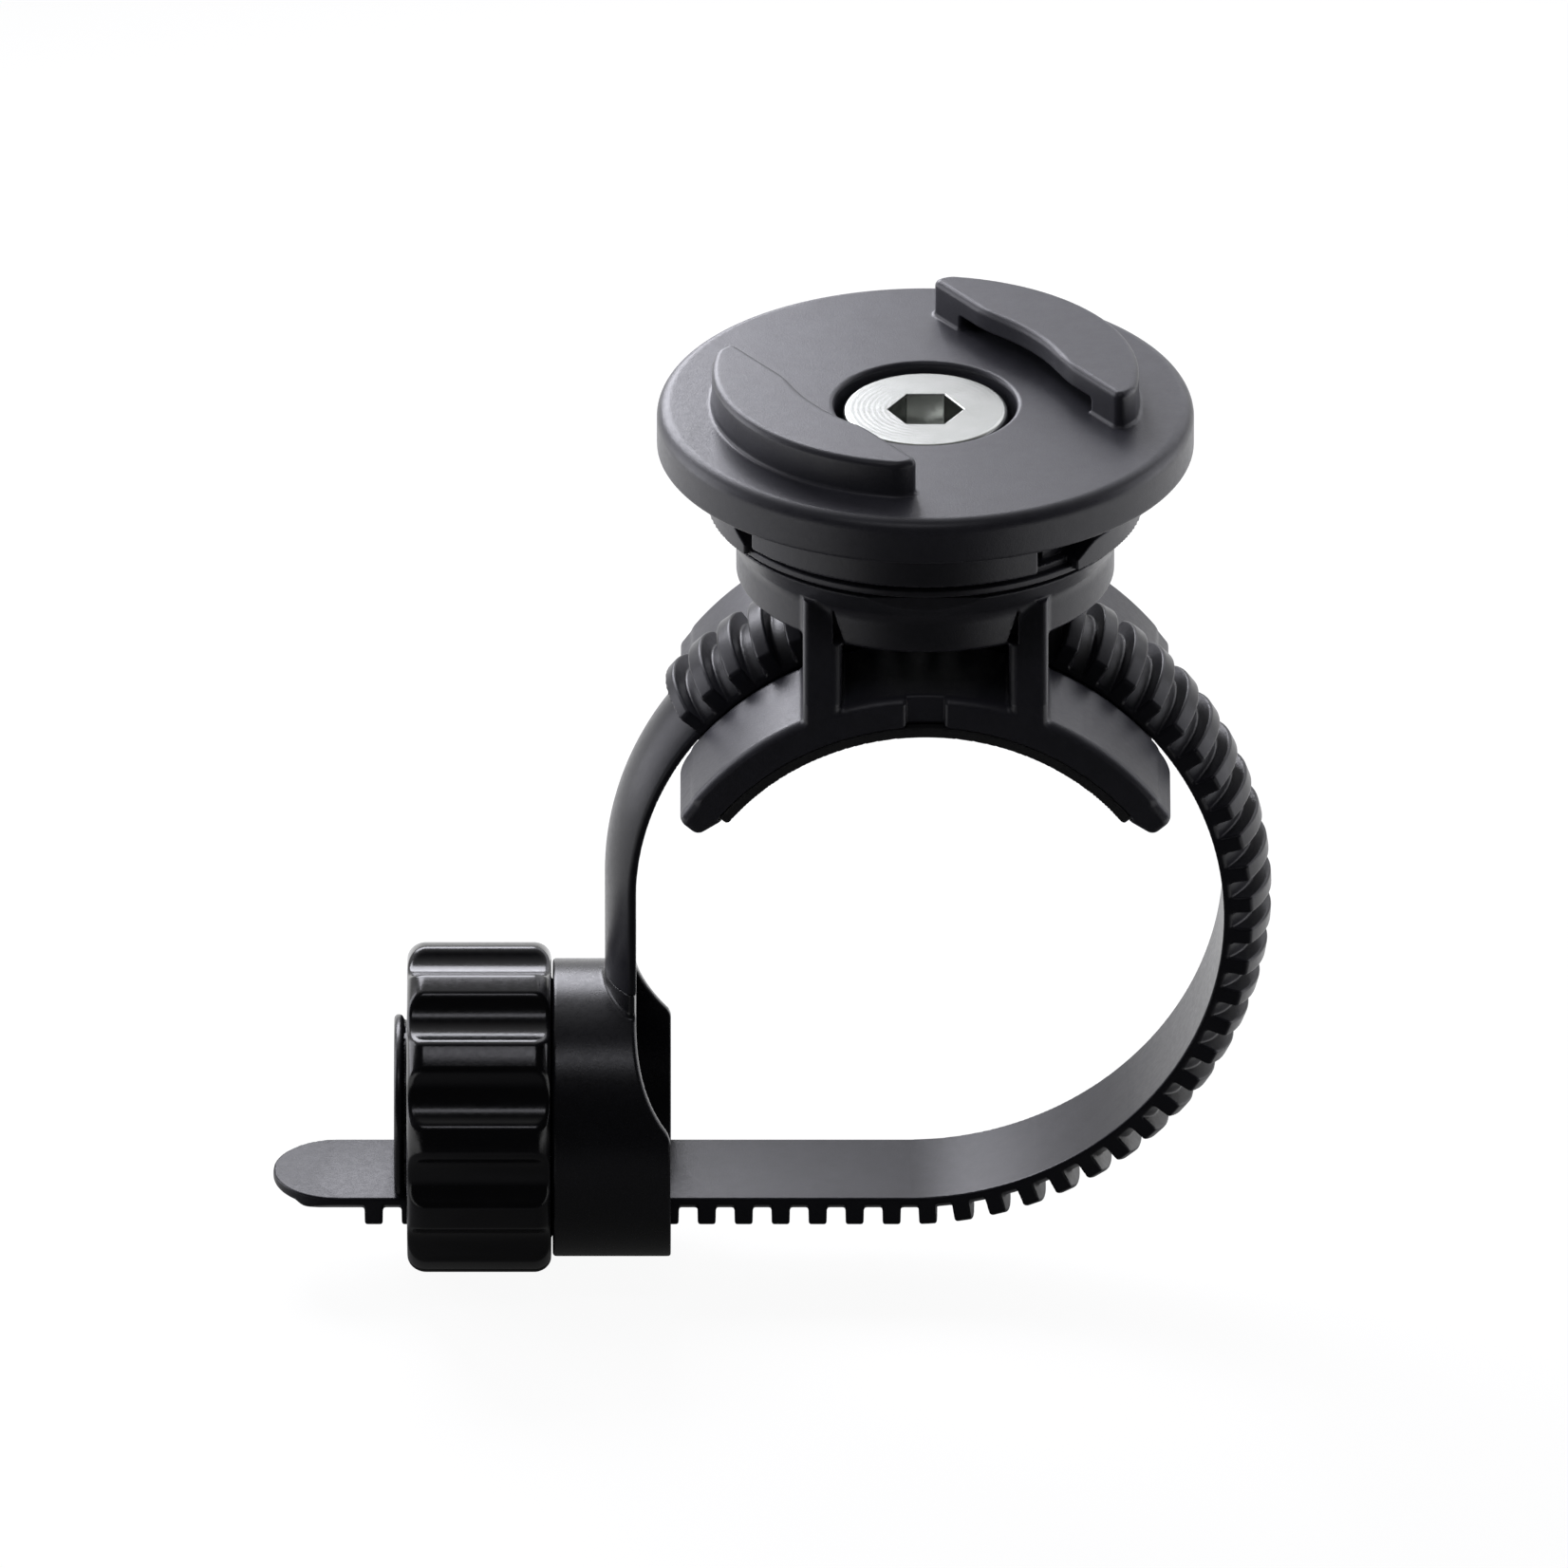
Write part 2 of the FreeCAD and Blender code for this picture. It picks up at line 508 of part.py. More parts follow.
def tooth_places():
    """Distance along x and turn for every tooth, from the tail to the left shoulder."""
    for i in range(TOOTH_COUNT):
        s = i * TOOTH_PITCH
        if s <= STRAIGHT_PATH:
            yield FIRST_TOOTH_X + s, STRAP_FLAT_Z, -90.0
        elif s <= STRAIGHT_PATH + LOOP_PATH:
            degrees = -90 + math.degrees((s - STRAIGHT_PATH) / (LOOP_R + PITCH_LINE))
            point = on_arc(LOOP_R, degrees)
            yield LOOP_X + point.x, LOOP_Z + point.z, degrees
        else:
            degrees = WRAP_START + math.degrees((s - STRAIGHT_PATH - LOOP_PATH) / (WRAP_R + PITCH_LINE))
            point = on_arc(WRAP_R, degrees)
            yield point.x, point.z, degrees


def make_strap_toothed():
    section = crown_section(WEB_CROWN_R)
    run = section.copy()
    run.rotate(ORIGIN, X_AXIS, 180)
    run.translate(vec(LOOP_X, 0, STRAP_FLAT_Z))
    run = run.extrude(vec(TAIL_TIP_X - LOOP_X, 0, 0))
    w = STRAP_HALF_WIDTH
    low = STRAP_FLAT_Z - 5
    outline = block(TAIL_TIP_X + w, LOOP_X, -w, w, low, STRAP_FLAT_Z)
    outline = outline.fuse(Part.makeCylinder(w, 5, vec(TAIL_TIP_X + w, 0, low)))
    run = run.common(outline)
    loop = swept_arc(section, LOOP_X, LOOP_Z, LOOP_R, -90, WRAP_START)
    wrap = swept_arc(section, 0, 0, WRAP_R, WRAP_START, SHANK_START)
    pieces = [run, loop, wrap]
    blank = tooth_blank()
    for x, z, degrees in tooth_places():
        tooth = blank.copy()
        tooth.rotate(ORIGIN, Y_AXIS, 90 - degrees)
        tooth.translate(vec(x, 0, z))
        pieces.append(tooth)
    return fuse_all(pieces)


def make_strap_shank():
    section = crown_section(WEB_CROWN_R)
    gap = math.degrees(SHANK_GAP / WRAP_R)
    bend = swept_arc(section, 0, 0, WRAP_R, SHANK_START + gap, 180)
    leg = section.copy()
    leg.rotate(ORIGIN, Y_AXIS, -90)
    leg.translate(vec(-WRAP_R, 0, 0))
    leg = leg.extrude(vec(0, 0, SHANK_END_Z + SHANK_GAP))
    return fuse_all([bend, leg])


# ---------------------------------------------------------------- buckle
def make_buckle_housing():
    section = crown_section(WEB_CROWN_R)
    stub = section.copy()
    stub.rotate(ORIGIN, Y_AXIS, -90)
    stub.translate(vec(-WRAP_R, 0, SHANK_END_Z))
    stub = stub.extrude(vec(0, 0, KNOB_Z + NECK_R - 1.2 - SHANK_END_Z))
    shell = rod(BUCKLE_R, BUCKLE_LEFT, BUCKLE_RIGHT)
    shell = rounded(shell, 0.35, lambda e: e.BoundBox.XLength < 1e-4 and e.BoundBox.XMin < BUCKLE_WALL_RIGHT)
    outer = fuse_all([shell, stub])

    def root_edge(edge):
        box = edge.BoundBox
        middle = edge.CenterOfMass
        below_top = KNOB_Z + BUCKLE_R - middle.z
        curved = box.YLength > STRAP_HALF_WIDTH and box.XLength > 0.2
        return curved and middle.x < -WRAP_R - 0.5 and -0.1 < below_top < 1.4

    outer = rounded(outer, 0.45, root_edge)
    reach = 2 * BUCKLE_R
    scoop = Part.makeCylinder(SCOOP_R, 2 * reach, vec(SCOOP_X, -reach, SCOOP_Z), Y_AXIS)
    scoop = scoop.fuse(block(-WRAP_R, 0, -reach, reach, SCOOP_Z, 0))
    outer = outer.cut(scoop)

    lip_end = BUCKLE_LEFT + BUCKLE_LIP
    hollow = rod(BUCKLE_BORE_R, lip_end, BUCKLE_WALL_LEFT)
    hollow = hollow.fuse(rod(BUCKLE_LIP_R, BUCKLE_LEFT - 1, lip_end))
    outer = outer.cut(hollow)
    right_room = rod(BUCKLE_BORE_R, BUCKLE_WALL_RIGHT, BUCKLE_RIGHT + 1)
    outer = outer.cut(right_room)

    core = rod(CORE_R, CORE_LEFT + CORE_LIP_LENGTH, BUCKLE_WALL_RIGHT)
    core = core.fuse(rod(CORE_LIP_R, CORE_LEFT, CORE_LEFT + CORE_LIP_LENGTH))
    body = fuse_all([outer, core])
    passage_half = STRAP_HALF_WIDTH + JOINT
    passage = block(CORE_LEFT - 1, BUCKLE_RIGHT + 1, -passage_half, passage_half,
                    KNOB_Z - 2 * BUCKLE_R, KNOB_Z - CORE_FLAT)
    passage = passage.common(rod(TOOTH_CROWN_R + JOINT, CORE_LEFT - 1, BUCKLE_RIGHT + 1))
    return body.cut(passage)


# ---------------------------------------------------------------- knob
def thread_ridge():
    """Helical ridge on the Z axis, one start, right hand."""
    turns = 6
    start = -3 * TOOTH_PITCH
    helix = Part.makeHelix(TOOTH_PITCH, turns * TOOTH_PITCH, THREAD_MINOR_R)
    helix.translate(vec(0, 0, start))
    embed = 0.35
    crest = THREAD_CREST / 2
    root = THREAD_ROOT / 2
    profile = Part.makePolygon([vec(THREAD_MINOR_R, 0, start - crest), vec(THREAD_MINOR_R, 0, start + crest),
                                vec(THREAD_MAJOR_R + embed, 0, start + root),
                                vec(THREAD_MAJOR_R + embed, 0, start - root),
                                vec(THREAD_MINOR_R, 0, start - crest)])
    return Part.Wire(helix).makePipeShell([profile], True, True)


def make_tension_knob():
    body = rod(KNOB_R, KNOB_LEFT, KNOB_RIGHT)
    scallop_centre = KNOB_FLOOR_R + KNOB_SCALLOP_R
    for i in range(KNOB_RIBS):
        a = math.radians(360 / KNOB_RIBS * i)
        start = vec(KNOB_LEFT - 1, scallop_centre * math.sin(a), KNOB_Z + scallop_centre * math.cos(a))
        body = body.cut(Part.makeCylinder(KNOB_SCALLOP_R, KNOB_LENGTH + 2, start, X_AXIS))

    def rib_edge(edge):
        box = edge.BoundBox
        return abs(box.XLength - KNOB_LENGTH) < 1e-3 and box.YLength < 1e-3

    body = rounded(body, KNOB_RIB_ROUND, rib_edge)
    body = rounded(body, KNOB_END_ROUND, lambda e: e.BoundBox.XLength < 1e-4)
    snap_start = BUCKLE_LEFT + BUCKLE_LIP + 0.2
    snap_end = snap_start + SNAP_LENGTH
    neck = rod(NECK_R, KNOB_RIGHT - 0.5, snap_start)
    snap = rod(SNAP_R, snap_start, snap_end)
    snap = rounded(snap, 0.3, lambda e: abs(e.BoundBox.XMin - snap_end) < 1e-4)
    body = fuse_all([body, neck, snap])
    body = body.cut(rod(THREAD_MAJOR_R, KNOB_LEFT - 1, snap_end + 1))
    ridge = thread_ridge()
    ridge.rotate(ORIGIN, Y_AXIS, 90)
    middle = FIRST_TOOTH_X + TOOTH_PITCH * 2.5
    ridge.translate(vec(middle, 0, KNOB_Z))
    tube = rod(THREAD_MAJOR_R + 0.2, KNOB_LEFT, KNOB_RIGHT)
    ridge = ridge.common(tube)
    return fuse_all([body, ridge])


save("head_plate", make_head_plate())
save("index_ring", make_index_ring())
save("head_screw", make_head_screw())
save("captive_nut", make_captive_nut())
save("saddle_base", make_saddle_base())
save("bar_pad", make_bar_pad())
save("strap_toothed", make_strap_toothed())
save("strap_shank", make_strap_shank())
save("buckle_housing", make_buckle_housing())
save("tension_knob", make_tension_knob())
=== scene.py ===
import math

import bpy
import numpy as np
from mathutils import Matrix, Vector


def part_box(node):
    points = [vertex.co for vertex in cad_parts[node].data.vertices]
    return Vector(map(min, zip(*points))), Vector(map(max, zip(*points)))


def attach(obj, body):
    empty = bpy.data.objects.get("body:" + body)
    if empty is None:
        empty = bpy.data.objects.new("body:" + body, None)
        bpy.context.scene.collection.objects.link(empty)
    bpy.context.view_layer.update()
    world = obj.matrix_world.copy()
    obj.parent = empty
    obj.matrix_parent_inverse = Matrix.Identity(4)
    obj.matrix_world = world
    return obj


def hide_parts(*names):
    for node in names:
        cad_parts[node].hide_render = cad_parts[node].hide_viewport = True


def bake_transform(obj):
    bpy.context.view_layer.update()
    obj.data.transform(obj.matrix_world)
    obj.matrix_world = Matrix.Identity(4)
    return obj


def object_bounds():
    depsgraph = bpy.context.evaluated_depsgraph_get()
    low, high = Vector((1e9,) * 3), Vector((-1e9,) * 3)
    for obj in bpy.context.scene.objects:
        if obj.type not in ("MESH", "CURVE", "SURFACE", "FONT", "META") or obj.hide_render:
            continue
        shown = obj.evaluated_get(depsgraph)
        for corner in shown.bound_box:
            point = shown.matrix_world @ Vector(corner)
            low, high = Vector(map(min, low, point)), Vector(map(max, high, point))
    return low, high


# Looks of the phone handlebar mount. The shape functions work in millimetres, and the meshes are in metres.
# Each piece is a signed distance field, so every moulded edge and corner has a real radius.

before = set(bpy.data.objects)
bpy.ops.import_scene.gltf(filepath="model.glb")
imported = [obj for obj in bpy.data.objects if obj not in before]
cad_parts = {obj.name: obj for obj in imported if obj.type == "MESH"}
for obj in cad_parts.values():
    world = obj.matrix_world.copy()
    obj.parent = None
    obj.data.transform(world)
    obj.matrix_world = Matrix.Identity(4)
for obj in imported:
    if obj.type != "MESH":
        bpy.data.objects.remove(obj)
cad_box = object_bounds()

MM = 0.001

# ---------------------------------------------------------------- sizes, most of them the CAD model's
# Heights are above the handlebar's axis. A bare number in a shape function is the radius of an edge or a
# fillet, or a small overlap or clearance between two fields.
# Head
DISC_R, DISC_TOP, DISC_BOTTOM = 17.1, 33.4, 30.5
SKIRT_R, SKIRT_WALL, SKIRT_BOTTOM = 13.9, 1.4, 27.2
SKIRT_MIDDLES, SKIRT_HALF_ANGLE = (math.radians(79), math.radians(259)), math.radians(42)
BOSS_R, BOSS_BOTTOM = 7.6, 27.5
INSIDE_DISC = 31
SINK_R, SINK_FLOOR = 5.83, 29.7
LUG_TURN = math.radians(35.5)
LUG_R, LUG_HALF_LENGTH, LUG_INNER_U, LUG_TOP, LUG_ROOT = 13.6, 10.2, 7.8, 35.85, 32.5
LUG_RECESS_R, LUG_RECESS_U = 13.89, -5.44
SLOT_R, SLOT_HALF_LENGTH, SLOT_HEIGHT = 11.7, 7.15, 1.0
SCREW_HOLE_R, SCREW_HOLE_BOTTOM = 3.2, 25
# Screw and nut
SCREW_TOP, SCREW_SEAT, SCREW_TIP = 33.0, 29.75, 22.0
SCREW_HEAD_R, SCREW_R, INSIDE_SCREW_HEAD = 5.26, 2.97, 30
SOCKET_FLAT_R, SOCKET_DEPTH, DRILL_R, DRILL_POINT = 2.1, 2.3, 2.0, 0.5
NUT_FLAT_R, NUT_TOP = 5.05, 25.4
# Index ring
RING_BOTTOM, RING_LIP, RING_LIP_R, RING_NECK_R, RING_BORE_R = 26.25, 0.52, 13.45, 12.95, 8.05
RING_WALL_R, RING_WALL, INSIDE_FLANGE = 12.3, 1.4, 26.5
RING_GAP_TURN, RING_GAP_HALF_ANGLE = math.radians(-47.5), math.radians(11.5)
HOOK_INNER_R, HOOK_TURN, HOOK_HALF_ANGLE, HOOK_TOP = 11.2, math.radians(-3), math.radians(2.5), 29.2
FOOT_TURN, FOOT_HALF_ANGLE, FOOT_TOP = math.radians(0.5), math.radians(6), 27.8
BAND_TURN, BAND_HALF_ANGLE, BAND_INNER_R, BAND_HEIGHT = math.radians(-6), math.radians(40), 12.1, 0.9
BAND_RAMP_COS, BAND_RAMP_SIN = 0.866, 0.5
# Saddle base and liner
COLLAR_TOP, COLLAR_R, COLLAR_BOTTOM = 25.95, 12.05, 21.6
CONE_BOTTOM, CONE_TOP_R = 24.05, 13.25
SPIGOT_R, SPIGOT_ROOT = 8, 22
POST_INNER_X, POST_OUTER_X, POST_FOOT, POST_SLOPE_FOOT, POST_TOP_Y = 5.3, 7.8, 16.0, 18.2, 10.28
POCKET_X, POCKET_Y = 0.57, 9.65
POCKET_SIDE_FOOT, POCKET_SIDE_TOP = (5.12, 21.55), (5.80, 23.7)
HALF_LENGTH = 12.65
BAR_R, PAD_OUTER_R, PAD_HALF_ANGLE, PAD_PLAY = 15.9, 16.6, math.radians(52.5), 0.004
SADDLE_R = 18.6
TANGENT_X, TANGENT_Z = math.cos(math.radians(36)), math.sin(math.radians(36))
TOE_INNER, TOE_MIDDLE, TOE_OUTER = (12.98, 9.78), (14.5, 8.8), (16.09, 10.15)
TUNNEL_Y = 4.6
GAP_TOP = 11.2
NOTCH_HALF_WIDTH, NOTCH_DEPTH, NOTCH_BOTTOM, NOTCH_TOP = 1.2, 0.5, 16.4, 20
# Strap
WRAP_R, LOOP_R, WRAP_START = 18.45, 20.1, math.radians(51.3)
LOOP_X = -(LOOP_R - WRAP_R) * math.cos(WRAP_START)
LOOP_Z = -(LOOP_R - WRAP_R) * math.sin(WRAP_START)
FLAT_Z = LOOP_Z - LOOP_R
AXIS_HEIGHT = 4.42
KNOB_Z = FLAT_Z + AXIS_HEIGHT
WEB_R, TOOTH_R, TOOTH_HALF, TOOTH_FLARE = 6.42, 7.5, 0.61, 0.0195
STRAP_W = 4.18
PITCH, PITCH_LINE, FIRST_TOOTH_X, TOOTH_COUNT = 2.367, 2.7, -35.25, 53
STRAIGHT_TOP = -8
TAIL_X, TAIL_THICKNESS, TAIL_TIP, TAIL_THIN_END = -41.7, 0.75, 1.4, 4.5
TAIL_TAPER, TAIL_TAPER_COS = 0.5, 0.89
SHANK_END = KNOB_Z + 10.1
SEAM, SEAM_GAP = math.radians(140.2), 0.06
# Buckle and knob
KNOB_LEFT, KNOB_RIGHT, KNOB_R = -33.1, -23.9, 10.67
SCALLOP_COUNT, SCALLOP_AT_R, SCALLOP_R = 12, 12.3, 2.5
NECK_R, NECK_LEFT, SNAP_LEFT, SNAP_R, SNAP_RIGHT, KNOB_BORE_R = 8.2, -24.4, -22.6, 8.75, -21.6, 7.6
THREAD_TIP_R, THREAD_ROOT_R, THREAD_HALF, THREAD_FLARE, THREAD_END = 6.55, 8.0, 0.285, 0.045, 0.2
BUCKLE_LEFT, BUCKLE_RIGHT, BUCKLE_R = -23.8, -16.25, 9.54
GROOVE_R, GROOVE_LEFT, GROOVE_RIGHT = 8.9, -22.8, -21.2
MOUTH_R, MOUTH_END, ROOM_LEFT = 8.3, -22.5, -19.8
CORE_R, CORE_LEFT, CORE_LIP_R, CORE_LIP_LEFT, CORE_LIP_RIGHT = 5.6, -33.9, 5.95, -33.94, -33.34
PASSAGE_Y, PASSAGE_DROP, PASSAGE_R = 4.48, 4.32, 7.8
STUB_BOTTOM, STUB_OVERLAP = KNOB_Z + 7, 0.04
SCOOP_X, SCOOP_Z, SCOOP_R = 9.0 - WRAP_R, KNOB_Z + 8.29, 9.0


# ---------------------------------------------------------------- distance fields
def union(a, b, r=0.0):
    """Both shapes, with a fillet of radius r where they meet."""
    if not r:
        return np.minimum(a, b)
    return np.maximum(r, np.minimum(a, b)) - np.hypot(np.maximum(r - a, 0), np.maximum(r - b, 0))


def common(a, b, r=0.0):
    """What lies in both shapes, its new edge rounded by r."""
    if not r:
        return np.maximum(a, b)
    return np.minimum(-r, np.maximum(a, b)) + np.hypot(np.maximum(r + a, 0), np.maximum(r + b, 0))


def cut(a, b, r=0.0):
    return common(a, -b, r)


def between(value, low, high):
    return np.maximum(low - value, value - high)


def turned(x, y, angle):
    """Coordinates in axes turned by angle, counter-clockwise."""
    c, s = math.cos(angle), math.sin(angle)
    return c * x + s * y, c * y - s * x


def wedge(x, y, middle, half):
    """The sector within half of the direction middle, both in radians, half under 90 degrees."""
    u, v = turned(x, y, middle)
    return np.abs(v) * math.cos(half) - u * math.sin(half)


def slope(r, z, r0, z0, r1, z1):
    """Distance outside the line from (r0, z0) up to (r1, z1), positive on its right."""
    length = math.hypot(r1 - r0, z1 - z0)
    return ((r - r0) * (z1 - z0) - (z - z0) * (r1 - r0)) / length


def hexagon(x, y, flat_r):
    across = [np.abs(turned(x, y, math.radians(a))[0]) for a in (30, 90, 150)]
    return np.maximum(np.maximum(across[0], across[1]), across[2]) - flat_r


# ---------------------------------------------------------------- shapes
def head_plate(x, y, z):
    radius = np.hypot(x, y)
    disc = common(common(radius - DISC_R, z - DISC_TOP, 0.9), DISC_BOTTOM - z, 0.18)
    body = union(disc, common(radius - BOSS_R, between(z, BOSS_BOTTOM, INSIDE_DISC), 0.15), 0.3)
    skirt = np.abs(radius - SKIRT_R + SKIRT_WALL / 2) - SKIRT_WALL / 2
    skirt = common(skirt, between(z, SKIRT_BOTTOM, INSIDE_DISC), 0.12)
    for middle in SKIRT_MIDDLES:
        body = union(body, common(skirt, wedge(x, y, middle, SKIRT_HALF_ANGLE), 0.15), 0.25)
    u, v = turned(x, y, LUG_TURN)
    u, v = np.abs(u), np.abs(v)
    plan = common(common(radius - LUG_R, v - LUG_HALF_LENGTH, 0.55), LUG_INNER_U - u, 0.55)
    plan = cut(plan, np.hypot(u - LUG_RECESS_U, v) - LUG_RECESS_R, 0.4)
    lug = common(common(plan, z - LUG_TOP, 0.42), LUG_ROOT - z)
    slot = common(common(radius - SLOT_R, v - SLOT_HALF_LENGTH, 0.4), z - DISC_TOP - SLOT_HEIGHT, 0.15)
    lug = cut(lug, slot, 0.16)
    body = union(body, lug, 0.25)
    body = cut(body, common(radius - SINK_R, SINK_FLOOR - z, 0.2), 0.28)
    return cut(body, radius - SCREW_HOLE_R, 0.1)


def index_ring(x, y, z):
    radius = np.hypot(x, y)
    lip = common(radius - RING_LIP_R, between(z, RING_BOTTOM, RING_BOTTOM + RING_LIP), 0.12)
    flange = union(lip, np.maximum(radius - RING_NECK_R, between(z, RING_BOTTOM + 0.2, SKIRT_BOTTOM)), 0.08)
    flange = common(flange, RING_BORE_R - radius, 0.1)
    wall = np.abs(radius - RING_WALL_R + RING_WALL / 2) - RING_WALL / 2
    wall = np.maximum(wall, between(z, INSIDE_FLANGE, DISC_BOTTOM - 0.03))
    u, v = turned(x, y, RING_GAP_TURN)
    side = np.where(u < 0, -1.0, 1.0)
    u, v = u * side, v * side
    wall = cut(wall, common(wedge(u, v, 0, RING_GAP_HALF_ANGLE), SKIRT_BOTTOM - z, 0.1), 0.12)
    hook = np.maximum(wedge(u, v, HOOK_TURN, HOOK_HALF_ANGLE), z - HOOK_TOP)
    foot = np.maximum(wedge(u, v, FOOT_TURN, FOOT_HALF_ANGLE), z - FOOT_TOP)
    hook = common(union(hook, foot, 0.2), between(radius, HOOK_INNER_R, RING_WALL_R), 0.1)
    body = union(union(flange, wall, 0.15), np.maximum(hook, INSIDE_FLANGE - z), 0.1)
    u, v = turned(x, y, BAND_TURN)
    end = wedge(np.abs(u), v, 0, BAND_HALF_ANGLE)
    ramp = (z - SKIRT_BOTTOM) * BAND_RAMP_COS + end * BAND_RAMP_SIN
    band = common(np.maximum(end, ramp), z - SKIRT_BOTTOM - BAND_HEIGHT, 0.3)
    band = common(band, between(radius, BAND_INNER_R, SKIRT_R), 0.1)
    return union(body, np.maximum(band, INSIDE_FLANGE - z), 0.06)


def head_screw(x, y, z):
    radius = np.hypot(x, y)
    head = common(common(radius - SCREW_HEAD_R, z - SCREW_TOP, 0.3), SCREW_SEAT - z, 0.12)
    shank = common(common(radius - SCREW_R, SCREW_TIP - z, 0.45), z - INSIDE_SCREW_HEAD)
    body = union(head, shank, 0.1)
    floor = SCREW_TOP - SOCKET_DEPTH
    socket = common(hexagon(x, y, SOCKET_FLAT_R), floor - z)
    drill = np.maximum(slope(radius, z, 0, floor - DRILL_POINT, DRILL_R, floor), z - floor)
    return cut(body, np.minimum(socket, drill), 0.06)


def saddle_base(x, y, z):
    radius = np.hypot(x, y)
    x, y = np.abs(x), np.abs(y)
    bar = np.hypot(x, z)
    outer = np.where(z * TANGENT_X > x * TANGENT_Z, bar, x * TANGENT_X + z * TANGENT_Z) - SADDLE_R
    shell = common(outer, y - HALF_LENGTH, 0.7)
    tip = slope(x, z, *TOE_MIDDLE, *TOE_OUTER)
    tip = common(tip, slope(x, z, *TOE_INNER, *TOE_MIDDLE), 0.45)
    prongs = common(shell, common(tip, TUNNEL_Y - y, 1.4), 0.5)
    wings = union(prongs, common(shell, GAP_TOP - z, 0.3), 0.3)
    stop = math.pi / 2 - PAD_HALF_ANGLE - PAD_PLAY
    pocket = np.maximum(bar - PAD_OUTER_R, x * math.sin(stop) - z * math.cos(stop))
    wings = cut(wings, np.minimum(pocket, bar - PAD_OUTER_R + 0.35), 0.12)

    cone = slope(radius, z, COLLAR_R, CONE_BOTTOM, CONE_TOP_R, COLLAR_TOP)
    collar = common(union(radius - COLLAR_R, cone, 0.25), z - COLLAR_TOP, 0.12)
    collar = common(collar, COLLAR_BOTTOM - z, 0.3)
    body = union(wings, collar)
    body = union(body, common(radius - SPIGOT_R, between(z, SPIGOT_ROOT, SKIRT_BOTTOM), 0.2), 0.15)

    lean = np.maximum(slope(y, z, HALF_LENGTH, POST_SLOPE_FOOT, POST_TOP_Y, CONE_BOTTOM), y - HALF_LENGTH)
    post = common(common(lean, x - POST_OUTER_X, 0.45), POST_INNER_X - x, 0.65)
    post = common(post, TUNNEL_Y - y, 0.15)
    post = np.maximum(post, between(z, POST_FOOT, CONE_BOTTOM + 0.3))
    post = cut(post, bar - PAD_OUTER_R - 0.3)
    body = common(union(body, post, 0.25), y - HALF_LENGTH, 0.02)

    gap = np.maximum(x - POST_INNER_X - POCKET_X, -slope(x, z, *POCKET_SIDE_FOOT, *POCKET_SIDE_TOP))
    gap = np.maximum(np.maximum(gap, COLLAR_BOTTOM + 0.2 - z), POCKET_Y - y)
    body = cut(body, gap, 0.08)
    trough = np.maximum(np.maximum(y - TUNNEL_Y, WRAP_R - 0.05 - bar), z - COLLAR_BOTTOM)
    body = cut(body, trough, 0.22)
    notch = np.maximum(np.maximum(x - NOTCH_HALF_WIDTH, HALF_LENGTH - NOTCH_DEPTH - y),
                       between(z, NOTCH_BOTTOM, NOTCH_TOP))
    body = cut(body, notch, 0.3)
    body = cut(body, np.maximum(radius - SCREW_HOLE_R, SCREW_HOLE_BOTTOM - z), 0.1)
    nut_pocket = np.maximum(hexagon(x, y, NUT_FLAT_R), between(z, COLLAR_BOTTOM - 1, NUT_TOP))
    return cut(body, nut_pocket, 0.08)


def bar_pad(x, y, z):
    ring = common(np.abs(np.hypot(x, z) - (BAR_R + PAD_OUTER_R) / 2) - (PAD_OUTER_R - BAR_R) / 2,
                  np.abs(y) - HALF_LENGTH, 0.12)
    return common(ring, wedge(z, x, 0, PAD_HALF_ANGLE), 0.3)


def strap_place(x, z):
    """Height above the strap's flat face and distance along its pitch line from the first tooth."""
    straight = (x < LOOP_X) & (z < STRAIGHT_TOP)
    loop_r = np.hypot(x - LOOP_X, z - LOOP_Z)
    wrap_r = np.hypot(x, z)
    past = z * math.cos(WRAP_START) - x * math.sin(WRAP_START) > 0
    run = LOOP_X - FIRST_TOOTH_X
    loop_angle = np.arctan2(z - LOOP_Z, x - LOOP_X) + math.pi / 2
    wrap_angle = np.mod(np.arctan2(z, x), 2 * math.pi) - WRAP_START
    loop_s = run + loop_angle * (LOOP_R + PITCH_LINE)
    wrap_s = run + (math.pi / 2 + WRAP_START) * (LOOP_R + PITCH_LINE) + wrap_angle * (WRAP_R + PITCH_LINE)
    height = np.where(straight, FLAT_Z - z, np.where(past, wrap_r - WRAP_R, loop_r - LOOP_R))
    along = np.where(straight, x - FIRST_TOOTH_X, np.where(past, wrap_s, loop_s))
    return height, along, straight


def strap_section(y, height, side, crown_r, edge):
    """The strap's section: flat face, straight sides, and a crown about the knob's axis."""
    crown = np.hypot(y, height + AXIS_HEIGHT) - crown_r
    return common(common(crown, -height, edge), side, edge)


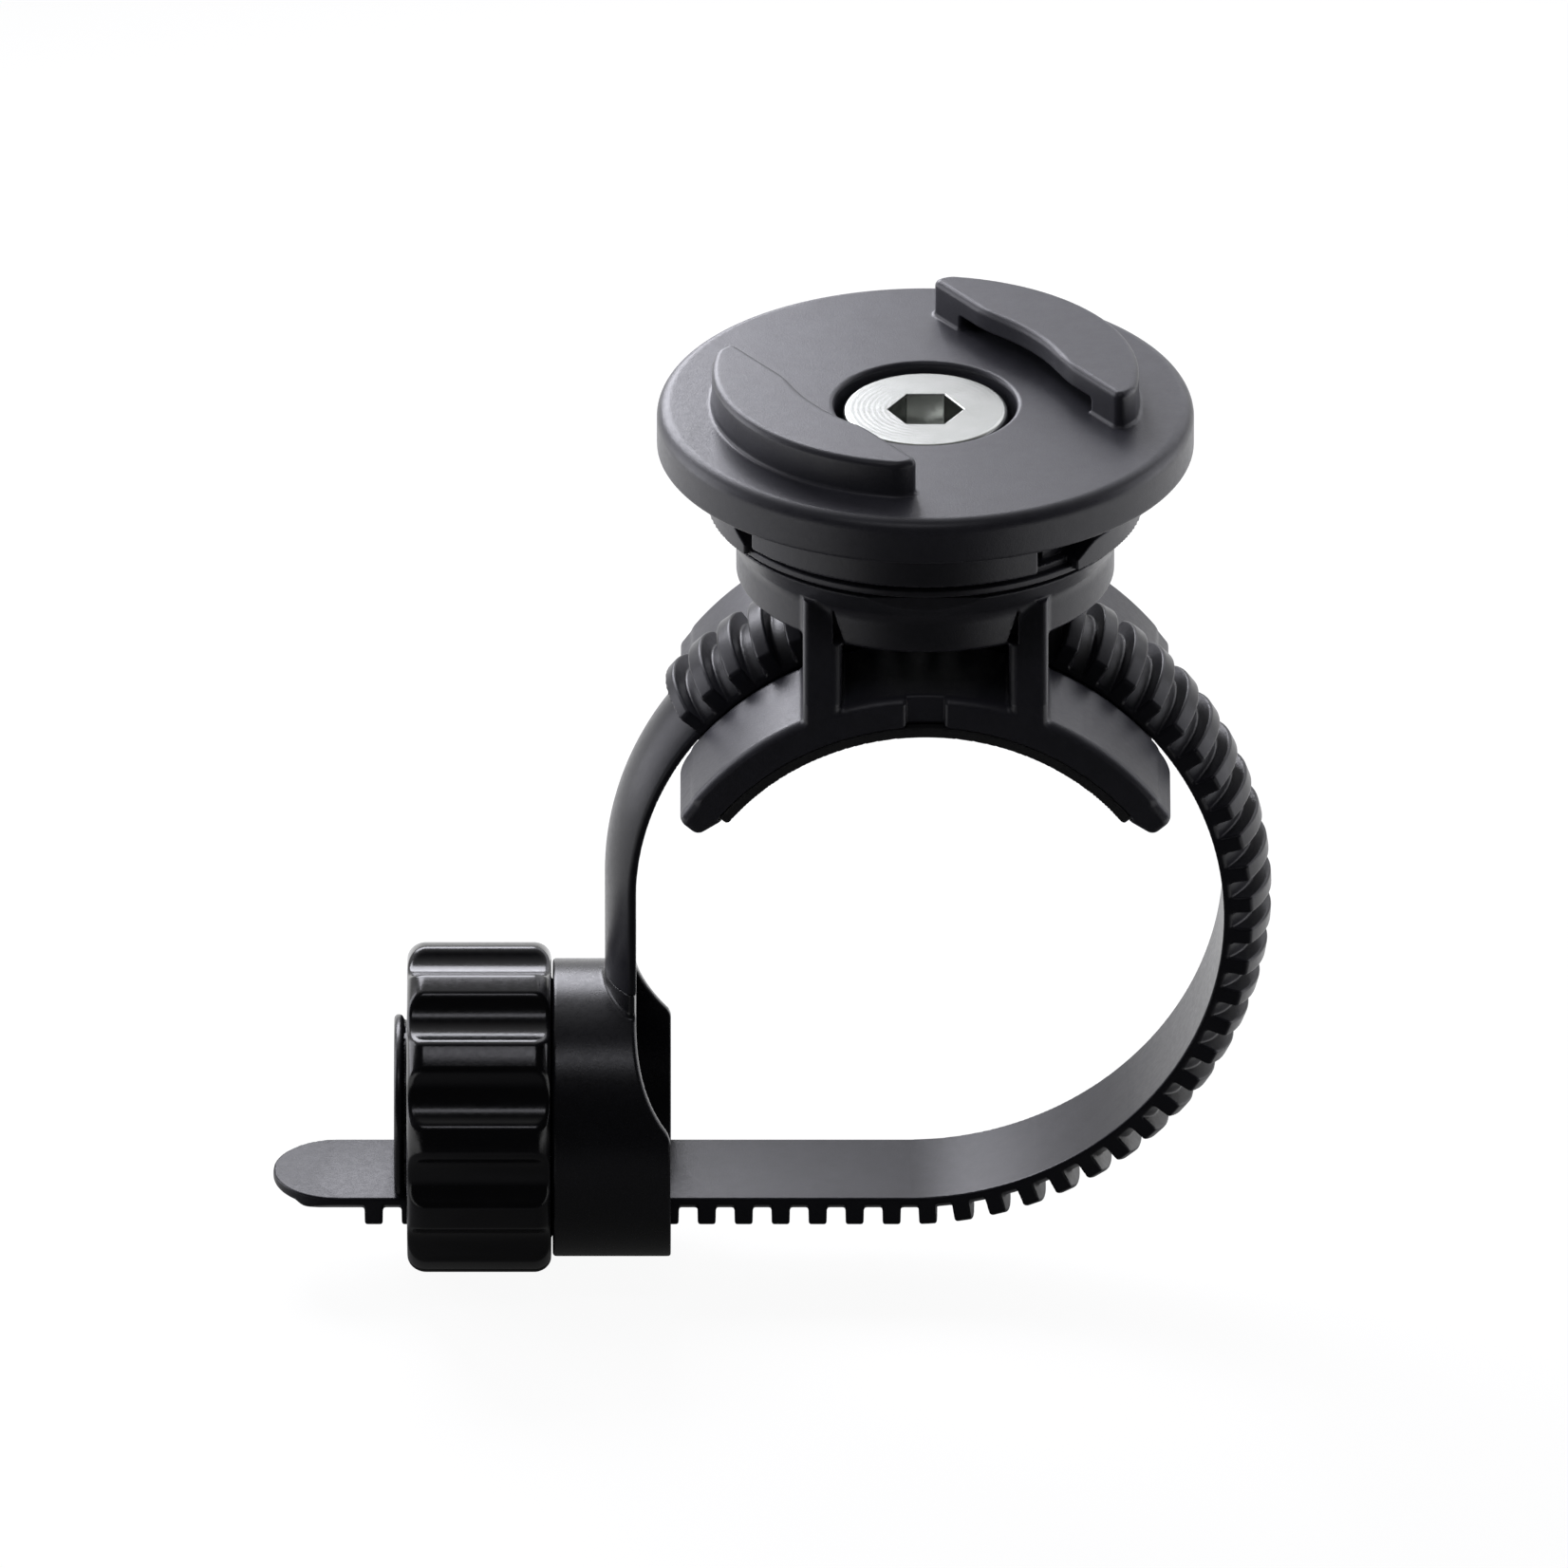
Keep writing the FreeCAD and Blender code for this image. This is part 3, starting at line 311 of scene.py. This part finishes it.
def strap_toothed(x, y, z):
    height, along, straight = strap_place(x, z)
    round_x = TAIL_X + STRAP_W
    side = np.where(straight & (x < round_x), np.hypot(x - round_x, y), np.abs(y)) - STRAP_W
    number = np.clip(np.round(along / PITCH), 0, TOOTH_COUNT - 1)
    flank = np.abs(along - number * PITCH) - TOOTH_HALF + TOOTH_FLARE * height
    crown = np.hypot(y, height + AXIS_HEIGHT)
    crown = union(crown - WEB_R, common(crown - TOOTH_R, flank, 0.16), 0.14)
    body = common(common(crown, -height, 0.12), side, 0.14)
    thin = height - TAIL_THICKNESS - np.maximum(x - TAIL_X - TAIL_TIP, 0) * TAIL_TAPER
    body = np.where(straight & (x < TAIL_X + TAIL_THIN_END), common(body, thin * TAIL_TAPER_COS, 0.3), body)
    end = z * math.cos(SEAM) - x * math.sin(SEAM)
    return np.maximum(body, np.where((x < 0) & (z > STRAIGHT_TOP), end - SEAM_GAP, -1.0))


def strap_shank(x, y, z):
    bend = np.hypot(x, z) - WRAP_R
    height = np.where(z > 0, bend, -x - WRAP_R)
    web = strap_section(y, height, np.abs(y) - STRAP_W, WEB_R, 0.12)
    start = x * math.sin(SEAM) - z * math.cos(SEAM)
    return np.maximum(np.maximum(web, start - SEAM_GAP), SHANK_END - z)


def buckle_housing(x, y, z):
    up = z - KNOB_Z
    q = np.hypot(y, up)
    tube = common(common(q - BUCKLE_R, BUCKLE_LEFT - x, 0.22), x - BUCKLE_RIGHT, 0.18)
    height = -x - WRAP_R
    stub = strap_section(y, height, np.abs(y) - STRAP_W, WEB_R, 0.12)
    stub = common(stub, between(z, STUB_BOTTOM, SHANK_END + STUB_OVERLAP))
    body = union(tube, stub, 0.3)
    scoop = np.minimum(np.hypot(x - SCOOP_X, z - SCOOP_Z) - SCOOP_R, np.maximum(-WRAP_R - x, SCOOP_Z - z))
    body = cut(body, scoop, 0.3)
    groove = common(q - GROOVE_R, between(x, GROOVE_LEFT, GROOVE_RIGHT), 0.1)
    room = np.minimum(groove, np.maximum(q - MOUTH_R, x - MOUTH_END))
    room = np.minimum(room, np.maximum(q - GROOVE_R, ROOM_LEFT - x))
    body = cut(body, room, 0.14)
    core = common(q - CORE_R, between(x, CORE_LEFT, ROOM_LEFT))
    core = union(core, common(q - CORE_LIP_R, between(x, CORE_LIP_LEFT, CORE_LIP_RIGHT), 0.28))
    body = union(body, core, 0.2)
    passage = np.maximum(np.maximum(np.abs(y) - PASSAGE_Y, up + PASSAGE_DROP), q - PASSAGE_R)
    return cut(body, passage, 0.12)


def tension_knob(x, y, z):
    up = z - KNOB_Z
    q = np.hypot(y, up)
    turn = np.arctan2(y, -up)
    step = math.radians(360 / SCALLOP_COUNT)
    a = np.mod(turn + step / 2, step) - step / 2
    scallop = np.hypot(q * np.cos(a) - SCALLOP_AT_R, q * np.sin(a)) - SCALLOP_R
    barrel = common(common(q - KNOB_R, x - KNOB_RIGHT, 1.1), KNOB_LEFT - x, 1.2)
    body = cut(barrel, scallop, 0.28)
    neck = common(q - NECK_R, between(x, NECK_LEFT, SNAP_LEFT))
    snap = common(q - SNAP_R, between(x, SNAP_LEFT, SNAP_RIGHT), 0.25)
    body = union(union(body, neck, 0.15), snap, 0.1)
    body = cut(body, q - KNOB_BORE_R, 0.25)
    phase = x - FIRST_TOOTH_X - PITCH * (turn / (2 * math.pi) + 0.5)
    off = np.abs(np.mod(phase + PITCH / 2, PITCH) - PITCH / 2)
    ridge = common(off - THREAD_HALF - THREAD_FLARE * (q - THREAD_TIP_R), THREAD_TIP_R - q, 0.12)
    ridge = common(ridge, q - THREAD_ROOT_R)
    ridge = np.maximum(ridge, between(x, KNOB_LEFT + THREAD_END, KNOB_RIGHT - THREAD_END))
    return union(body, ridge, 0.12)


# ---------------------------------------------------------------- meshing a field
BLOCK = 8                     # grid steps along a block
BLOCK_REACH = 1.05            # a block with its middle this near the surface, in blocks, is worked out in full
BATCH = 400                   # blocks worked out at a time
MARGIN = 3                    # grid steps left round a node's box


def sampled(field, low, step, counts):
    """The field on a grid, worked out only in the blocks near its surface."""
    blocks = counts // BLOCK
    centres = [low[i] + (np.arange(blocks[i]) + 0.5) * BLOCK * step for i in range(3)]
    rough = field(*np.meshgrid(*centres, indexing="ij"))
    far = np.where(rough > 0, 1.0, -1.0).astype(np.float32)
    values = far.repeat(BLOCK, 0).repeat(BLOCK, 1).repeat(BLOCK, 2)
    cells = values.reshape(blocks[0], BLOCK, blocks[1], BLOCK, blocks[2], BLOCK)
    near = np.argwhere(np.abs(rough) < BLOCK * step * BLOCK_REACH)
    offsets = np.arange(BLOCK) * step
    for part in np.array_split(near, max(1, len(near) // BATCH)):
        at = [low[i] + part[:, i, None] * BLOCK * step + offsets for i in range(3)]
        x, y, z = np.broadcast_arrays(
            at[0][:, :, None, None], at[1][:, None, :, None], at[2][:, None, None, :])
        cells[part[:, 0], :, part[:, 1], :, part[:, 2], :] = field(x, y, z)
    return values


def net(values):
    """Surface net of the grid's zero level: points in grid units, and quads."""
    inside = values < 0
    size = np.array(values.shape) - 1
    corners = [(i, j, k) for i in (0, 1) for j in (0, 1) for k in (0, 1)]

    def shifted(array, c):
        return array[c[0]:c[0] + size[0], c[1]:c[1] + size[1], c[2]:c[2] + size[2]]

    total = sum(shifted(inside, c).astype(np.int8) for c in corners)
    active = (total > 0) & (total < 8)
    cells = np.argwhere(active)
    number = np.full(active.shape, -1, np.int64)
    number[active] = np.arange(len(cells))
    points = np.zeros((len(cells), 3))
    crossings = np.zeros(len(cells))
    for a in corners:
        for axis in range(3):
            if a[axis]:
                continue
            b = list(a)
            b[axis] = 1
            va = values[tuple((cells + a).T)]
            vb = values[tuple((cells + b).T)]
            crossed = (va < 0) != (vb < 0)
            t = np.where(crossed, va / np.where(crossed, va - vb, 1), 0)
            point = np.tile(np.array(a, float), (len(cells), 1))
            point[:, axis] += t
            points += point * crossed[:, None]
            crossings += crossed
    points = cells + points / crossings[:, None]

    quads = []
    for axis in range(3):
        first = [slice(None)] * 3
        second = [slice(None)] * 3
        first[axis] = slice(0, -1)
        second[axis] = slice(1, None)
        here, there = inside[tuple(first)], inside[tuple(second)]
        u, v = np.eye(3, dtype=int)[(axis + 1) % 3], np.eye(3, dtype=int)[(axis + 2) % 3]
        for mask, flip in ((here & ~there, False), (~here & there, True)):
            at = np.argwhere(mask)
            at = at[((at > 0) & (at < size)).all(1)]
            ring = [number[tuple((at - d).T)] for d in (0 * u, u, u + v, v)]
            quad = np.stack(ring[::-1] if flip else ring, 1)
            quads.append(quad)
    return points, np.concatenate(quads)


def gradient(field, points, reach):
    """Unit directions in which the field grows fastest."""
    slopes = np.zeros_like(points)
    for axis in range(3):
        step = np.zeros(3)
        step[axis] = reach
        ahead = field(*(points + step).T)
        behind = field(*(points - step).T)
        slopes[:, axis] = (ahead - behind) / (2 * reach)
    length = np.linalg.norm(slopes, axis=1, keepdims=True)
    return slopes / np.maximum(length, 1e-6)


def settled(field, points, reach, most):
    """Points moved onto the field's zero level."""
    for _ in range(3):
        distance = np.clip(field(*points.T), -most, most)
        points = points - gradient(field, points, reach) * distance[:, None]
    return points


def modelled(name, field, box, step, keep):
    """A mesh object of the field's surface. Box is in millimetres, step is the grid's spacing,
    and keep is the share of the faces that stays after thinning."""
    low = np.array(box[0], float) - MARGIN * step
    counts = np.ceil((np.array(box[1]) + MARGIN * step - low) / step / BLOCK).astype(int) * BLOCK
    points, quads = net(sampled(field, low, step, counts))
    points = settled(field, low + points * step, step * 0.25, step)
    mesh = bpy.data.meshes.new(name)
    mesh.from_pydata(points.tolist(), [], quads.tolist())
    piece = bpy.data.objects.new(name, mesh)
    bpy.context.scene.collection.objects.link(piece)
    thin = piece.modifiers.new("thin", "DECIMATE")
    thin.ratio = keep
    graph = bpy.context.evaluated_depsgraph_get()
    mesh = bpy.data.meshes.new_from_object(piece.evaluated_get(graph))
    piece.modifiers.clear()
    piece.data = mesh
    flat = np.zeros(len(mesh.vertices) * 3)
    mesh.vertices.foreach_get("co", flat)
    points = settled(field, flat.reshape(-1, 3), step * 0.25, step * 0.5)
    normals = gradient(field, points, step * 0.3)
    mesh.vertices.foreach_set("co", (points * MM).ravel())
    mesh.validate()
    mesh.shade_smooth()
    mesh.update()
    mesh.normals_split_custom_set_from_vertices(normals.tolist())
    return piece


# ---------------------------------------------------------------- materials
NOISE_LOW, NOISE_HIGH = 0.3, 0.7    # the part of a noise texture's range that is used
MOTTLE_SCALE, GLOSS_SCALE, SWELL_SCALE = 700, 2600, 300
STEEL_MOTTLE_SCALE, STEEL_GLOSS_SCALE, TURNING_DEPTH = 900, 3000, 0.00001


class Nodes:
    """Short-hand for building a node tree, of a material or of the world."""

    def __init__(self, owner, place):
        owner.use_nodes = True
        self.owner = owner
        self.tree = owner.node_tree
        self.where = self.add("ShaderNodeTexCoord").outputs[place]

    def add(self, kind, **settings):
        node = self.tree.nodes.new(kind)
        for key, value in settings.items():
            setattr(node, key, value)
        return node

    def link(self, output, socket):
        self.tree.links.new(output, socket)

    def maths(self, operation, *values):
        """A Math node on numbers and on other nodes' outputs."""
        node = self.add("ShaderNodeMath", operation=operation)
        for socket, value in zip(node.inputs, values):
            if isinstance(value, float):
                socket.default_value = value
            else:
                self.link(value, socket)
        return node.outputs["Value"]

    def noise(self, scale, detail=2.0, rough=0.5):
        node = self.add("ShaderNodeTexNoise")
        self.link(self.where, node.inputs["Vector"])
        node.inputs["Scale"].default_value = scale
        node.inputs["Detail"].default_value = detail
        node.inputs["Roughness"].default_value = rough
        return node.outputs["Fac"]

    def ranged(self, value, low, high, start=NOISE_LOW, end=NOISE_HIGH):
        node = self.add("ShaderNodeMapRange")
        self.link(value, node.inputs["Value"])
        node.inputs["From Min"].default_value = start
        node.inputs["From Max"].default_value = end
        node.inputs["To Min"].default_value = low
        node.inputs["To Max"].default_value = high
        return node.outputs["Result"]

    def colours(self, value, dark, light):
        node = self.add("ShaderNodeValToRGB")
        self.link(value, node.inputs["Fac"])
        for end, position, colour in zip(node.color_ramp.elements, (NOISE_LOW, NOISE_HIGH), (dark, light)):
            end.position = position
            end.color = (*colour, 1)
        return node.outputs["Color"]

    def bump(self, value, strength, distance, before=None):
        node = self.add("ShaderNodeBump")
        node.inputs["Strength"].default_value = strength
        node.inputs["Distance"].default_value = distance
        self.link(value, node.inputs["Height"])
        if before is not None:
            self.link(before, node.inputs["Normal"])
        return node.outputs["Normal"]


def material_nodes(name):
    """A new material's nodes, placed by the object's own coordinates."""
    return Nodes(bpy.data.materials.new(name), "Object")


def plastic(name, dark, light, rough_low, rough_high, grain, depth, specular=0.5):
    """Moulded plastic: a fine cast texture, slight colour variation and uneven gloss."""
    n = material_nodes(name)
    shader = n.tree.nodes["Principled BSDF"]
    n.link(n.colours(n.noise(MOTTLE_SCALE, 3), dark, light), shader.inputs["Base Color"])
    n.link(n.ranged(n.noise(GLOSS_SCALE, 2), rough_low, rough_high), shader.inputs["Roughness"])
    fine = n.bump(n.noise(grain, 2, 0.6), 0.5, depth)
    n.link(n.bump(n.noise(SWELL_SCALE, 2), 0.25, depth * 4, fine), shader.inputs["Normal"])
    shader.inputs["Specular IOR Level"].default_value = specular
    return n.owner


def steel(name, dark, light, rough_low, rough_high, turned_marks):
    """Bright machined steel, with the lathe's rings on its end face."""
    n = material_nodes(name)
    shader = n.tree.nodes["Principled BSDF"]
    n.link(n.colours(n.noise(STEEL_MOTTLE_SCALE, 2), dark, light), shader.inputs["Base Color"])
    shader.inputs["Metallic"].default_value = 1.0
    n.link(n.ranged(n.noise(STEEL_GLOSS_SCALE, 3), rough_low, rough_high), shader.inputs["Roughness"])
    rings = n.add("ShaderNodeTexWave", wave_type="RINGS", rings_direction="Z", bands_direction="Z")
    n.link(n.where, rings.inputs["Vector"])
    rings.inputs["Scale"].default_value = turned_marks
    rings.inputs["Distortion"].default_value = 0.6
    rings.inputs["Detail"].default_value = 2.0
    n.link(n.bump(rings.outputs["Fac"], 0.15, TURNING_DEPTH), shader.inputs["Normal"])
    return n.owner


# name, darkest and lightest colour, least and most roughness, grain's scale and depth, specular level
head_plastic = plastic(
    "head_plastic", (0.052, 0.052, 0.063), (0.064, 0.064, 0.077), 0.36, 0.42, 9000, 0.00002)
base_plastic = plastic(
    "base_plastic", (0.042, 0.042, 0.052), (0.054, 0.054, 0.066), 0.36, 0.42, 9000, 0.00002)
strap_plastic = plastic(
    "strap_plastic", (0.026, 0.026, 0.032), (0.034, 0.034, 0.041), 0.30, 0.36, 7000, 0.00001, 0.26)
buckle_plastic = plastic(
    "buckle_plastic", (0.016, 0.016, 0.019), (0.021, 0.021, 0.025), 0.26, 0.32, 6000, 0.00001)
knob_plastic = plastic(
    "knob_plastic", (0.008, 0.008, 0.010), (0.011, 0.011, 0.013), 0.16, 0.22, 5000, 0.000006)
pad_rubber = plastic(
    "pad_rubber", (0.010, 0.010, 0.011), (0.016, 0.016, 0.017), 0.65, 0.8, 5000, 0.00003)
screw_steel = steel("screw_steel", (0.43, 0.44, 0.42), (0.47, 0.48, 0.46), 0.25, 0.27, 900)
nut_steel = steel("nut_steel", (0.45, 0.45, 0.46), (0.55, 0.55, 0.56), 0.3, 0.4, 900)


# ---------------------------------------------------------------- pieces
def around(*nodes):
    """The box of one or more CAD nodes, in millimetres."""
    boxes = [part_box(node) for node in nodes]
    low = [min(b[0][i] for b in boxes) / MM for i in range(3)]
    high = [max(b[1][i] for b in boxes) / MM for i in range(3)]
    return low, high


PIECES = (
    # name, field, CAD node, body, material, slot, grid step, share of faces kept
    ("head", head_plate, "head_plate", "head", head_plastic, "head_plastic", 0.16, 0.4),
    ("ring_under_head", index_ring, "index_ring", "head", base_plastic, "base_plastic", 0.15, 0.4),
    ("screw", head_screw, "head_screw", "screw", screw_steel, "screw_steel", 0.10, 0.5),
    ("saddle", saddle_base, "saddle_base", "base", base_plastic, "base_plastic", 0.15, 0.4),
    ("liner", bar_pad, "bar_pad", "base", pad_rubber, "pad_rubber", 0.18, 0.3),
    ("strap", strap_toothed, "strap_toothed", "base", strap_plastic, "strap_elastomer", 0.14, 0.5),
    ("shank", strap_shank, "strap_shank", None, strap_plastic, "strap_elastomer", 0.16, 0.6),
    ("housing", buckle_housing, "buckle_housing", "buckle", buckle_plastic, "buckle_plastic", 0.14, 0.4),
    ("knob", tension_knob, "tension_knob", "knob", knob_plastic, "knob_plastic", 0.15, 0.5),
)

for name, field, node, body, material, slot, step, keep in PIECES:
    piece = modelled(name, field, around(node), step, keep)
    piece.data.materials.append(material)
    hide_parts(node)
    if body:
        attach(piece, body)
    else:
        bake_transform(piece)

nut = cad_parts["captive_nut"]
nut.data.materials.clear()
nut.data.materials.append(nut_steel)


# ---------------------------------------------------------------- floor, light and camera
FLOOR_Z = cad_box[0][2] - 0.0001
FLOOR_SIZE = 6.0
FRONT_WEDGE = 0.8                       # slope of the dark wedge's sides, in front of the object
NEAR_CENTRE = (-0.01, -0.05, 0)         # the floor stays dark in reflections round this place
FLOOR_TO_CAMERA = 0.94
COOL = (0.92, 0.92, 1.0)
LIGHTS = (
    # name, place, aim, width, height, radiance
    ("back_left_light", (-0.06, 0.13, 0.10), (-0.01, 0, 0.035), 0.10, 0.09, 8.0),
    ("back_right_light", (0.08, 0.17, 0.13), (0.02, 0, 0.03), 0.15, 0.15, 1.2),
    ("left_light", (-0.24, 0.08, 0.06), (0, 0, 0), 0.14, 0.20, 3.0),
    ("right_light", (0.24, 0.08, 0.06), (0, 0, 0), 0.14, 0.20, 1.7),
    ("front_strip", (-0.03, -0.13, 0.26), (-0.02, 0, 0), 0.14, 0.045, 2.6),
)
VIEW_ELEVATION = math.radians(26.9)
VIEW_DISTANCE = 4.0
VIEW_WIDTH = 0.1001
VIEW_CENTRE = (-0.009, 0.0, 0.00622)
SENSOR_WIDTH = 36
CLIP_END = 20


def floor_object(material):
    half = FLOOR_SIZE / 2
    mesh = bpy.data.meshes.new("floor")
    corners = [(-half, -half, 0), (half, -half, 0), (half, half, 0), (-half, half, 0)]
    mesh.from_pydata(corners, [], [(0, 1, 2, 3)])
    mesh.materials.append(material)
    piece = bpy.data.objects.new("floor", mesh)
    piece.location = (0, 0, FLOOR_Z)
    bpy.context.scene.collection.objects.link(piece)
    return piece


def floor_material():
    """Pale matte floor, white to the camera. Reflections see it dark in a wedge in front of the object
    and close to it, and bright further off, beside it and behind it."""
    n = material_nodes("floor_paint")
    n.tree.nodes.remove(n.tree.nodes["Principled BSDF"])
    matte = n.add("ShaderNodeBsdfDiffuse")
    n.link(n.colours(n.noise(8, 1), (0.13, 0.13, 0.13), (0.14, 0.14, 0.14)), matte.inputs["Color"])
    split = n.add("ShaderNodeSeparateXYZ")
    n.link(n.where, split.inputs["Vector"])
    aside = n.maths("ABSOLUTE", split.outputs["X"])
    outside_wedge = n.maths("MULTIPLY_ADD", split.outputs["Y"], FRONT_WEDGE, aside)
    away = n.add("ShaderNodeVectorMath", operation="DISTANCE")
    n.link(n.where, away.inputs[0])
    away.inputs[1].default_value = NEAR_CENTRE
    sweep = n.maths("MULTIPLY", n.ranged(outside_wedge, 0.01, 1.1, -0.045, 0.015),
                    n.ranged(away.outputs["Value"], 0.05, 1.0, 0.055, 0.09))
    seen = n.add("ShaderNodeLightPath").outputs
    mirrored = n.maths("MULTIPLY", seen["Is Glossy Ray"], sweep)
    glow = n.add("ShaderNodeEmission")
    strength = n.maths("MULTIPLY_ADD", seen["Is Camera Ray"], FLOOR_TO_CAMERA, mirrored)
    n.link(strength, glow.inputs["Strength"])
    both = n.add("ShaderNodeAddShader")
    n.link(matte.outputs["BSDF"], both.inputs[0])
    n.link(glow.outputs["Emission"], both.inputs[1])
    n.link(both.outputs["Shader"], n.tree.nodes["Material Output"].inputs["Surface"])
    n.owner.cycles.emission_sampling = "NONE"
    return n.owner


def studio():
    """The world: white to the camera, dim as diffuse light, and brighter to the back in reflections."""
    world = bpy.data.worlds.new("studio")
    scene.world = world
    world.cycles.sampling_method = "NONE"
    n = Nodes(world, "Generated")
    split = n.add("ShaderNodeSeparateXYZ")
    n.link(n.where, split.inputs["Vector"])
    seen = n.add("ShaderNodeLightPath").outputs
    mirrored = n.maths("MULTIPLY", seen["Is Glossy Ray"], n.ranged(split.outputs["Y"], 0.02, 0.6, -0.1, 0.6))
    white = n.maths("ADD", seen["Is Camera Ray"], mirrored)
    background = n.tree.nodes["Background"]
    n.link(n.maths("MULTIPLY_ADD", seen["Is Diffuse Ray"], 0.03, white), background.inputs["Strength"])
    background.inputs["Color"].default_value = (1, 1, 1, 1)


def softbox(name, location, aim, width, height, radiance):
    """A rectangular lamp that the camera doesn't see, turned to face aim."""
    light = bpy.data.lights.new(name, "AREA")
    light.shape = "RECTANGLE"
    light.size, light.size_y = width, height
    light.energy = radiance * math.pi * width * height
    light.color = COOL
    lamp = bpy.data.objects.new(name, light)
    bpy.context.scene.collection.objects.link(lamp)
    lamp.location = location
    direction = np.array(aim) - np.array(location)
    yaw = math.atan2(direction[1], direction[0])
    flat = math.hypot(direction[0], direction[1])
    lamp.rotation_euler = (math.atan2(flat, -direction[2]), 0, yaw - math.pi / 2)
    lamp.visible_camera = False


scene = bpy.context.scene
scene.view_settings.view_transform = "Standard"

floor_object(floor_material())
for lamp in LIGHTS:
    softbox(*lamp)
studio()

camera_data = bpy.data.cameras.new("camera")
camera_data.sensor_width = SENSOR_WIDTH
camera_data.lens = SENSOR_WIDTH * VIEW_DISTANCE / VIEW_WIDTH
camera_data.clip_end = CLIP_END
camera = bpy.data.objects.new("camera", camera_data)
scene.collection.objects.link(camera)
camera.location = (VIEW_CENTRE[0], VIEW_CENTRE[1] - VIEW_DISTANCE * math.cos(VIEW_ELEVATION),
                   VIEW_CENTRE[2] + VIEW_DISTANCE * math.sin(VIEW_ELEVATION))
camera.rotation_euler = (math.pi / 2 - VIEW_ELEVATION, 0, 0)
scene.camera = camera
